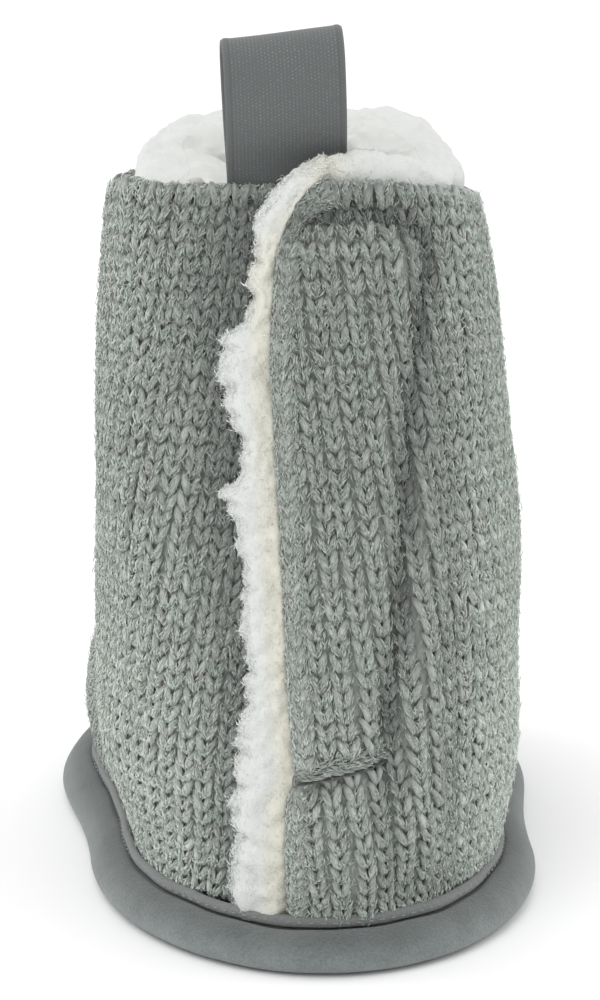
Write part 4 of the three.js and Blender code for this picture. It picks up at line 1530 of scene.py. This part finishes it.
class BOOTIE_OT_fleece_lining(bpy.types.Operator):
    """Make the fleece lining, standing above the collar and out beside the flap"""

    bl_idname = "bootie.fleece_lining"
    bl_label = "Fleece Lining"

    def execute(self, context):
        rings = [self.ring(height, closed) for height, closed in self.levels()]
        points, loose, curly, ground, inside, tuft = (np.concatenate(part) for part in zip(*rings))
        size = len(points) // len(rings)
        grid = points.reshape(len(rings), size, 3)
        normal = unit(np.cross(np.gradient(grid, axis=1), np.gradient(grid, axis=0))).reshape(-1, 3)
        slow, quick, fine = bumps(points, 0.25), bumps(points, 0.55, 2), bumps(points, 1.3, 4)
        tufts = 1.2 * np.abs(slow) + 0.6 * np.abs(quick) + 0.12 * fine
        lumps = mix(0.45 + 0.6 * slow + 0.5 * quick + 0.3 * fine, tufts, curly)
        points = points + normal * ((lumps - 0.4) * loose)[:, None]
        fringe = np.zeros(size)
        fringe[: len(STRIP_SHARES)] = mix(0.3, 1.4, ramp(STRIP_SHARES, 0.7, 1.0))
        bare = np.tile(fringe, len(rings)) * loose + 0.9 * tuft
        marks = {"ground": ground, "inside": inside, "bare": bare}
        faces = loft_faces(len(rings), size, capped=True)
        piece = make_piece("fleece_lining", points, faces, [pile_fleece("pile_fleece", 0.0)], marks)
        sew_in(piece, "lining")
        return {"FINISHED"}

    def levels(self):
        """The height of each ring, from the sole up, and how far its two faces have closed together."""
        top = COLLAR_HEIGHT + FLEECE_RIM
        rise = top - FLEECE_ROLL * (1 - np.sin(np.linspace(0, math.pi / 2, 9)[1:]))
        heights = np.concatenate([[5.6, 6.2], np.arange(7, top - FLEECE_ROLL + 0.1, 0.5), rise])
        return [(height, 0.0) for height in heights] + [(top, closed) for closed in TOP_CLOSING]

    def ring(self, height, closed):
        """One ring's points, outer face first, and how loose, curly, creamy, hidden and tufted its pile is."""
        edge = float(flap_edge(height))
        wall = spiral_stations(height, edge, 24, 130, 24)[:-1]
        stations = np.concatenate([edge - float(strip_reach(height)) * STRIP_SHARES, wall])
        signed, outer, inner = lining_faces(stations, height)
        rows = height + fleece_rise(signed, stations > WALL.half_girth_at(height), height)
        rows = rows + np.minimum(0.9, 0.12 * (outer - inner)) * math.sqrt(1 - (1 - closed) ** 2)
        middle = (outer + inner) / 2
        outer, inner = mix(outer, middle, closed), mix(inner, middle, closed)
        # Towards the front, where both sides meet in a seam, places follow the girth at their own height
        narrower = WALL.half_girth_at(rows) / WALL.half_girth_at(height)
        at = signed * mix(1.0, narrower, ramp(np.abs(signed), 50, 70))
        free = ramp(edge + 0.3 - stations, 0, 1.5)
        bare = collar_fall(signed) - COLLAR_HEIGHT + height
        corner = np.exp(-(((signed - 3) / 4) ** 2)) * ramp(height, 98, 100) * (stations < 40)
        cream = np.where(stations < edge, 1 - ramp(edge - stations, 1.4, 4.8), corner)
        cream = cream * mix(1.0, 0.7, ramp(height, 92, 98))
        none, full = np.zeros(len(stations)), np.ones(len(stations))
        faces = (
            (wall_point(at, rows, outer), wall_point(at, rows, inner)[::-1]),
            (np.maximum(free, ramp(bare, -0.5, 1.5)), full * mix(0.5, 1.0, ramp(height, 99, 102))),
            (free, none),
            (cream, none),
            # Inner faces are marked inside, which gives them their own white and, low down, the fleece's painted
            # light.
            (0.5 * ramp(signed**2, 300, 700), full),
            (corner, none),
        )
        return [np.concatenate(pair) for pair in faces]


class BOOTIE_OT_fleece_pile(bpy.types.Operator):
    """Grow the fine fibres of the fleece beside the flap and over its corner"""

    bl_idname = "bootie.fleece_pile"
    bl_label = "Fleece Pile"

    def execute(self, context):
        count = sizes().pile_count
        dice = np.random.default_rng(8)
        corners, normal, area, bare, cream = self.lining_quads()
        quads = dice.choice(len(area), count, p=area * bare / np.sum(area * bare))
        first, second = dice.uniform(0, 1, (2, count, 1))
        low = mix(corners[quads, 0], corners[quads, 1], first)
        high = mix(corners[quads, 3], corners[quads, 2], first)
        facing = normal[quads]
        aside = unit(np.cross(facing, (0.3, 0.2, 1.0)))
        turn = dice.uniform(0, 2 * math.pi, (count, 1))
        lying = aside * np.cos(turn) + np.cross(facing, aside) * np.sin(turn)
        reach = sizes().pile_length / MM * mix(1.0, 1.6, ramp(bare[quads], 0.5, 1.3))
        points = mix(low, high, second) - facing * 0.08
        self.grow("fleece_pile", points, facing, lying, reach, cream[quads], dice, 51)
        return {"FINISHED"}

    def lining_quads(self):
        """Corners, normals, areas, bareness and creaminess of the lining's faces, in millimetres."""
        piece = bpy.data.objects.get("fleece_lining")
        if piece is None:
            raise RuntimeError("the fleece lining is made before its pile")
        mesh = piece.data
        places = np.empty(3 * len(mesh.vertices))
        mesh.vertices.foreach_get("co", places)
        places = places.reshape(-1, 3) / MM
        order = np.empty(len(mesh.loops), np.int32)
        mesh.loops.foreach_get("vertex_index", order)
        order = order.reshape(-1, 4)
        marks = []
        for label in ("bare", "ground"):
            values = np.empty(len(places))
            mesh.attributes[label].data.foreach_get("value", values)
            marks.append(values[order].mean(axis=1))
        corners = places[order]
        cross = np.cross(corners[:, 2] - corners[:, 0], corners[:, 3] - corners[:, 1])
        return corners, unit(cross), np.linalg.norm(cross, axis=1) / 2, *marks

    def grow(self, name, points, facing, lying, reach, cream, dice, seed):
        count = len(points)
        reach = reach * dice.uniform(0.6, 1.3, count)
        size = np.stack([dice.uniform(0.3, 0.6, count), reach, reach * dice.uniform(0.3, 1.6, count)], -1)
        places = Places()
        places.add(points, facing, lying, size, dice.integers(0, 2, count), cream)
        sew_in(places.plant(name, fibre_pair(), pile_fibre(), 0.4, 0.15, seed), "lining")


def sole_outline(count):
    """Places round the sole's edge with their outward direction."""
    across, along, lengths = half_outline(SOLE_SECTION)
    full = 2 * lengths[-1]
    rounds = np.arange(count) * full / count

    def place(rounds):
        rounds = np.mod(rounds, full)
        folded = np.where(rounds > full / 2, full - rounds, rounds)
        side = np.where(rounds > full / 2, -1, 1)
        x = side * np.interp(folded, lengths, across)
        return np.stack([x, np.interp(folded, lengths, along) - SOLE_LENGTH / 2, 0 * x], -1)

    points = place(rounds)
    tangent = unit(place(rounds + 0.8) - place(rounds - 0.8))
    outward = np.stack([tangent[:, 1], -tangent[:, 0], 0 * rounds], -1)
    return points, outward, rounds


def smooth_section(section, count):
    """A closed section through given (inset, height) points, rounded between them."""
    section = np.asarray(section, float)
    total = len(section)
    shares = np.arange(count) * total / count
    index = shares.astype(int)
    t = (shares - index)[:, None]
    p0, p1, p2, p3 = (section[(index + step) % total] for step in (-1, 0, 1, 2))
    square, cube = 2 * p0 - 5 * p1 + 4 * p2 - p3, 3 * p1 - p0 - 3 * p2 + p3
    return 0.5 * (2 * p1 + (p2 - p0) * t + square * t**2 + cube * t**3)


def swept_band(name, section, stations, finish, unevenness):
    """A closed band round the sole from a section of (inset, height) points, inset inwards from the edge."""
    points, outward, rounds = sole_outline(stations)
    rings = []
    for point, out, round_ in zip(points, outward, rounds):
        wave = unevenness * (math.sin(0.21 * round_) + 0.6 * math.sin(0.53 * round_ + 1)) / 1.6
        swell = 1 + wave / 4
        place = point - out * (section[:, :1] * swell)
        place[:, 2] = section[:, 1] + wave * np.clip(section[:, 1] / SOLE_THICKNESS, 0, 1) * 0.5
        rings.append(lift_toe(place))
    faces = loft_faces(stations, len(section), closed_path=True)
    return make_piece(name, np.concatenate(rings), faces, [finish])


class BOOTIE_OT_sole_rim(bpy.types.Operator):
    """Make the padded rim round the sole, the binding's folded edge and the stitches along it"""

    bl_idname = "bootie.sole_rim"
    bl_label = "Rim And Binding"

    def execute(self, context):
        section = [
            (8.5, 0.7), (8.5, 2.8), (8.4, 4.7), (7.2, 4.9), (6, 4.85), (5, 4.75), (4.1, 5.25), (2.9, 5.15),
            (1.5, 4.45), (0.45, 3.2), (0.05, 2.2), (0.5, 1.05), (1.8, 0.3), (4, 0.15), (6.5, 0.3),
        ]
        finish = microfibre("rim_microfibre", tint("rim_cloth"), 0.26)
        rim = swept_band("sole_rim", smooth_section(section, 60), 260, finish, 0.22)
        sew_in(rim, "rim")
        fold = [(5.7, 5.3), (5.4, 6.6), (4.9, 6.9), (4.4, 6.5), (4.5, 5.7), (5, 5.25)]
        binding_finish = microfibre("binding_microfibre", tint("binding_cloth"), 0.14)
        binding = swept_band("binding_fold", smooth_section(fold, 24), 260, binding_finish, 0.12)
        sew_in(binding, "binding_edge")
        self.sew_binding(context)
        return {"FINISHED"}

    def sew_binding(self, context):
        """Sets the stitches along the binding's fold."""
        points, outward, _ = sole_outline(400)
        path = points - outward * 4.42
        path[:, 2] = 6.05
        path = lift_toe(path)
        facing = unit(outward + np.array([0, 0, 0.35]))
        count = len(path)
        mesh = bpy.data.meshes.new("binding_path")
        edges = [(step, (step + 1) % count) for step in range(count)]
        mesh.from_pydata((path * MM).tolist(), edges, [])
        layer = mesh.attributes.new("facing", "FLOAT_VECTOR", "POINT")
        layer.data.foreach_set("vector", facing.astype(np.float32).ravel())
        carrier = bpy.data.objects.new("binding_path", mesh)
        context.scene.collection.objects.link(carrier)
        shape = thread_shape("thread_stitch")
        values = {
            "shape": shape, "spacing": sizes().seam_stitch, "length": 0.6, "thread": sizes().seam_thread / MM,
            "seed": 3, "finish": sewing_thread(),
        }
        stitches = grown("binding_stitches", carrier, seam_tree, values, (shape,))
        sew_in(stitches, "binding_edge")


def sole_pad(name, inset, levels, finish, lumps):
    """A pad of the sole's shape from levels of (height, extra inset), its faces filled in towards the middle."""
    stations = 120
    points, outward, _ = sole_outline(stations)
    rings = []
    centre = np.array([0.0, 3.0, 0.0])

    def ring(height, draw, share):
        place = points - outward * (inset + draw)
        place = centre + (place - centre) * share
        place[:, 2] = height
        return lift_toe(place)

    fill = (0.06, 0.2, 0.4, 0.6, 0.8, 0.93)
    rings += [ring(levels[0][0], levels[0][1], share) for share in fill]
    rings += [ring(height, draw, 1.0) for height, draw in levels]
    rings += [ring(levels[-1][0], levels[-1][1], share) for share in fill[::-1]]
    faces = loft_faces(len(rings), stations)
    places = np.concatenate(rings)
    low, high = len(places), len(places) + 1
    ends = np.array([centre, centre])
    ends[:, 2] = levels[0][0], levels[-1][0]
    places = np.concatenate([places, lift_toe(ends)])
    top = (len(rings) - 1) * stations
    for step in range(stations):
        after = (step + 1) % stations
        faces.append((low, after, step))
        faces.append((high, top + step, top + after))
    if lumps:
        upper = places[:, 2] > levels[len(levels) // 2][0]
        places[:, 2] += np.where(upper, lumps * bumps(places, 0.4), 0)
    # The footbed is marked inside too, so it takes the fleece's painted light.
    marks = {"ground": np.full(len(places), 0.2), "inside": np.ones(len(places))}
    return make_piece(name, places, faces, [finish], marks)


class BOOTIE_OT_soles(bpy.types.Operator):
    """Make the flat sole pad and the fleece footbed"""

    bl_idname = "bootie.soles"
    bl_label = "Sole And Footbed"

    def execute(self, context):
        levels = [(0.0, 0.9), (0.25, 0.25), (0.8, 0), (4.2, 0), (4.75, 0.25), (5.0, 0.9)]
        finish = microfibre("sole_nap", tint("sole_cloth"), 0.16)
        outsole = sole_pad("outsole_pad", OUTSOLE_INSET, levels, finish, 0.0)
        sew_in(outsole, "outsole")
        low = SOLE_THICKNESS + 0.3
        levels = [(low, 0.9), (low + 0.7, 0), (low + 2.2, 0), (low + 2.8, 0.5), (low + INSOLE_THICKNESS, 1.2)]
        insole = sole_pad("fleece_footbed", INSOLE_INSET, levels, pile_fleece("footbed_fleece", 0.03), 0.25)
        sew_in(insole, "insole")
        return {"FINISHED"}


def bezier(start, first, second, end, count):
    """Points along a cubic curve."""
    t = np.linspace(0, 1, count)[:, None]
    start, first, second, end = (np.array(p, float) for p in (start, first, second, end))
    return (1 - t) ** 3 * start + 3 * (1 - t) ** 2 * t * first + 3 * (1 - t) * t**2 * second + t**3 * end


def loop_path():
    """The middle of the ribbon from one sewn end over the loop to the other, as depth and height."""
    half, middle, neck = LOOP_OPENING / 2, RIBBON / 2, 2.5
    crown = LOOP_HEIGHT - half - RIBBON
    wide = half + middle
    rise = np.stack([np.full(8, middle), np.linspace(-LOOP_TUCK, neck - 1, 8)], -1)
    swell = bezier((middle, neck - 1), (middle, neck + 3), (wide, neck + 4), (wide, crown), 18)
    turns = np.linspace(0, math.pi, 30)
    arch = np.stack([wide * np.cos(turns), crown + wide * np.sin(turns)], -1)
    right = np.concatenate([rise, swell[1:], arch[1:]])
    left = np.concatenate([rise, swell[1:-1]])[::-1] * np.array([-1, 1])
    return np.concatenate([right[:-1], [(-wide, crown)], left])


def set_at_collar(points):
    """Slants and leans the ribbon, turns it to the wall and sets its ends behind the under panel's knit."""
    slope, lean = math.tan(LOOP_SLANT), math.tan(LOOP_LEAN)
    x, y, z = points.T
    points = np.stack([x - z * lean, y, x * slope + z], -1)
    inside = float(under_dip(np.array(LOOP_ROUND), np.array(COLLAR_HEIGHT))) - KNIT
    at = (np.array([LOOP_ROUND]), np.array([COLLAR_HEIGHT]))
    foot = wall_point(*at, np.array([inside - LOOP_BEHIND]))[0]
    facing = wall_point(*at, np.array([inside]))[0] - foot
    turn = math.atan2(facing[0], -facing[1])
    cos, sin = math.cos(turn), math.sin(turn)
    x, y, z = points.T
    points = np.stack([x * cos - y * sin, x * sin + y * cos, z], -1)
    return points + np.array([foot[0], foot[1], COLLAR_HEIGHT])


class BOOTIE_OT_pull_loop(bpy.types.Operator):
    """Fold the ribbon into the pull loop"""

    bl_idname = "bootie.pull_loop"
    bl_label = "Pull Loop"

    def execute(self, context):
        path = loop_path()
        tangent = unit(np.gradient(path, axis=0))
        lengths = run_lengths(np.linalg.norm(np.diff(path, axis=0), axis=1))
        across = np.linspace(-1, 1, 41) * RIBBON_WIDTH / 2
        from_edge = RIBBON_WIDTH / 2 - np.abs(across)
        thick = 0.30 + 0.10 * np.exp(-(((from_edge - 0.55) / 0.4) ** 2)) - 0.18 * np.exp(-((from_edge / 0.2) ** 2))
        rings, weave = [], []
        for (depth, up), (run_depth, run_up), length in zip(path, tangent, lengths):
            wave = 0.06 * np.sin(0.33 * across + 0.23 * length) * ramp(up, 2, 8)
            out = np.stack([across, depth + run_up * (thick + wave), up - run_depth * (thick + wave)], -1)
            back = np.stack([across, depth - run_up * (thick - wave), up + run_depth * (thick - wave)], -1)
            rings.append(np.concatenate([back, out[::-1]]))
            mark = np.stack([across, np.full(len(across), length), 0 * across], -1)
            weave.append(np.concatenate([mark, mark[::-1]]))
        size = len(rings[0])
        points = set_at_collar(np.concatenate(rings))
        faces = loft_faces(len(rings), size, capped=True)
        piece = make_piece("pull_loop_ribbon", points, faces, [woven_ribbon()], {"weave": np.concatenate(weave)})
        sew_in(piece, "pull_loop")
        return {"FINISHED"}


class BOOTIE_OT_stage(bpy.types.Operator):
    """Set the floor, the soft light and the camera"""

    bl_idname = "bootie.stage"
    bl_label = "Studio"

    def execute(self, context):
        stage = context.scene.bootie_stage
        self.floor()
        self.surround(context, stage)
        self.light(context, "key_light", (-0.35, -0.75, 0.95), (0, -0.01, 0.05), 0.7, stage.key_power)
        self.light(context, "left_light", (-0.9, 0.25, 0.45), (0, 0, 0.05), 0.6, stage.side_power)
        self.light(context, "right_light", (0.9, 0.2, 0.45), (0, 0, 0.05), 0.6, stage.side_power)
        self.camera(context, stage)
        context.scene.view_settings.view_transform = "Standard"
        return {"FINISHED"}

    def floor(self):
        finish = Finish("studio_floor", roughness=0.9, specular=0.1)
        grain = finish.noise(finish.place((0.02, 0.02, 0.02)), 2.0)
        pale = tint("floor")
        finish.feed("Base Color", finish.blend(tuple(c * 0.985 for c in pale), pale, grain))
        corners = [(x * FLOOR_HALF, y * FLOOR_HALF, -0.02) for x, y in ((-1, -1), (1, -1), (1, 1), (-1, 1))]
        floor = make_piece("studio_floor", corners, [(0, 1, 2, 3)], [finish.material])

    def surround(self, context, stage):
        world = bpy.data.worlds.new("studio_surround")
        world.use_nodes = True
        background = world.node_tree.nodes["Background"]
        background.inputs["Color"].default_value = (1.0, 1.0, 1.0, 1.0)
        background.inputs["Strength"].default_value = stage.surround
        context.scene.world = world

    def camera(self, context, stage):
        """Stands where the photo was taken from, by a camera fitted to it."""
        camera = bpy.data.cameras.new("photo_camera")
        camera.sensor_fit = "VERTICAL"
        camera.sensor_height = 36.0
        camera.lens = stage.camera_lens
        camera.clip_end = 20.0
        holder = bpy.data.objects.new("photo_camera", camera)
        yaw, pitch = stage.camera_yaw, stage.camera_pitch
        side, reach = -stage.camera_side, -stage.camera_reach
        holder.location = (
            math.cos(yaw) * side + math.sin(yaw) * reach,
            -math.sin(yaw) * side + math.cos(yaw) * reach + HEEL_PLACE * MM,
            stage.camera_height,
        )
        aim = Vector((math.sin(yaw) * math.cos(pitch), math.cos(yaw) * math.cos(pitch), -math.sin(pitch)))
        holder.rotation_euler = aim.to_track_quat("-Z", "Y").to_euler()
        context.scene.collection.objects.link(holder)
        context.scene.camera = holder

    def light(self, context, name, place, aim, size, power):
        lamp = bpy.data.lights.new(name, "AREA")
        lamp.shape = "SQUARE"
        lamp.size = size
        lamp.energy = power
        holder = bpy.data.objects.new(name, lamp)
        holder.location = place
        holder.rotation_euler = (Vector(aim) - Vector(place)).to_track_quat("-Z", "Y").to_euler()
        context.scene.collection.objects.link(holder)


class BOOTIE_PT_panel(bpy.types.Panel):
    """Lists the bootie's pieces, sizes and colours"""

    bl_label = "Knitted Baby Bootie"
    bl_idname = "BOOTIE_PT_panel"
    bl_space_type = "VIEW_3D"
    bl_region_type = "UI"
    bl_category = "Bootie"

    def draw(self, context):
        column = self.layout.column()
        for operator in OPERATORS:
            column.operator(operator.bl_idname)
        for group in (context.scene.bootie_sizes, context.scene.bootie_colours, context.scene.bootie_stage):
            box = self.layout.box()
            for name in group.__annotations__:
                box.prop(group, name)


GROUPS = {"bootie_sizes": BootieSizes, "bootie_colours": BootieColours, "bootie_stage": BootieStage}
OPERATORS = (
    BOOTIE_OT_stage,
    BOOTIE_OT_soles,
    BOOTIE_OT_sole_rim,
    BOOTIE_OT_knit_backing,
    BOOTIE_OT_knit_flap,
    BOOTIE_OT_knit_under,
    BOOTIE_OT_knit_forefoot,
    BOOTIE_OT_knit_fuzz,
    BOOTIE_OT_fleece_lining,
    BOOTIE_OT_fleece_pile,
    BOOTIE_OT_pull_loop,
)


def register():
    for group in GROUPS.values():
        bpy.utils.register_class(group)
    for name, group in GROUPS.items():
        setattr(bpy.types.Scene, name, bpy.props.PointerProperty(type=group))
    for operator in OPERATORS:
        bpy.utils.register_class(operator)
    bpy.utils.register_class(BOOTIE_PT_panel)


def unregister():
    bpy.utils.unregister_class(BOOTIE_PT_panel)
    for operator in reversed(OPERATORS):
        bpy.utils.unregister_class(operator)
    for name in GROUPS:
        delattr(bpy.types.Scene, name)
    for group in GROUPS.values():
        bpy.utils.unregister_class(group)


def main():
    register()
    bpy.ops.bootie.stage()
    bpy.ops.bootie.soles()
    bpy.ops.bootie.sole_rim()
    bpy.ops.bootie.knit_backing()
    bpy.ops.bootie.knit_flap()
    bpy.ops.bootie.knit_under()
    bpy.ops.bootie.knit_forefoot()
    bpy.ops.bootie.knit_fuzz()
    bpy.ops.bootie.fleece_lining()
    bpy.ops.bootie.fleece_pile()
    bpy.ops.bootie.pull_loop()


if __name__ == "__main__":
    main()
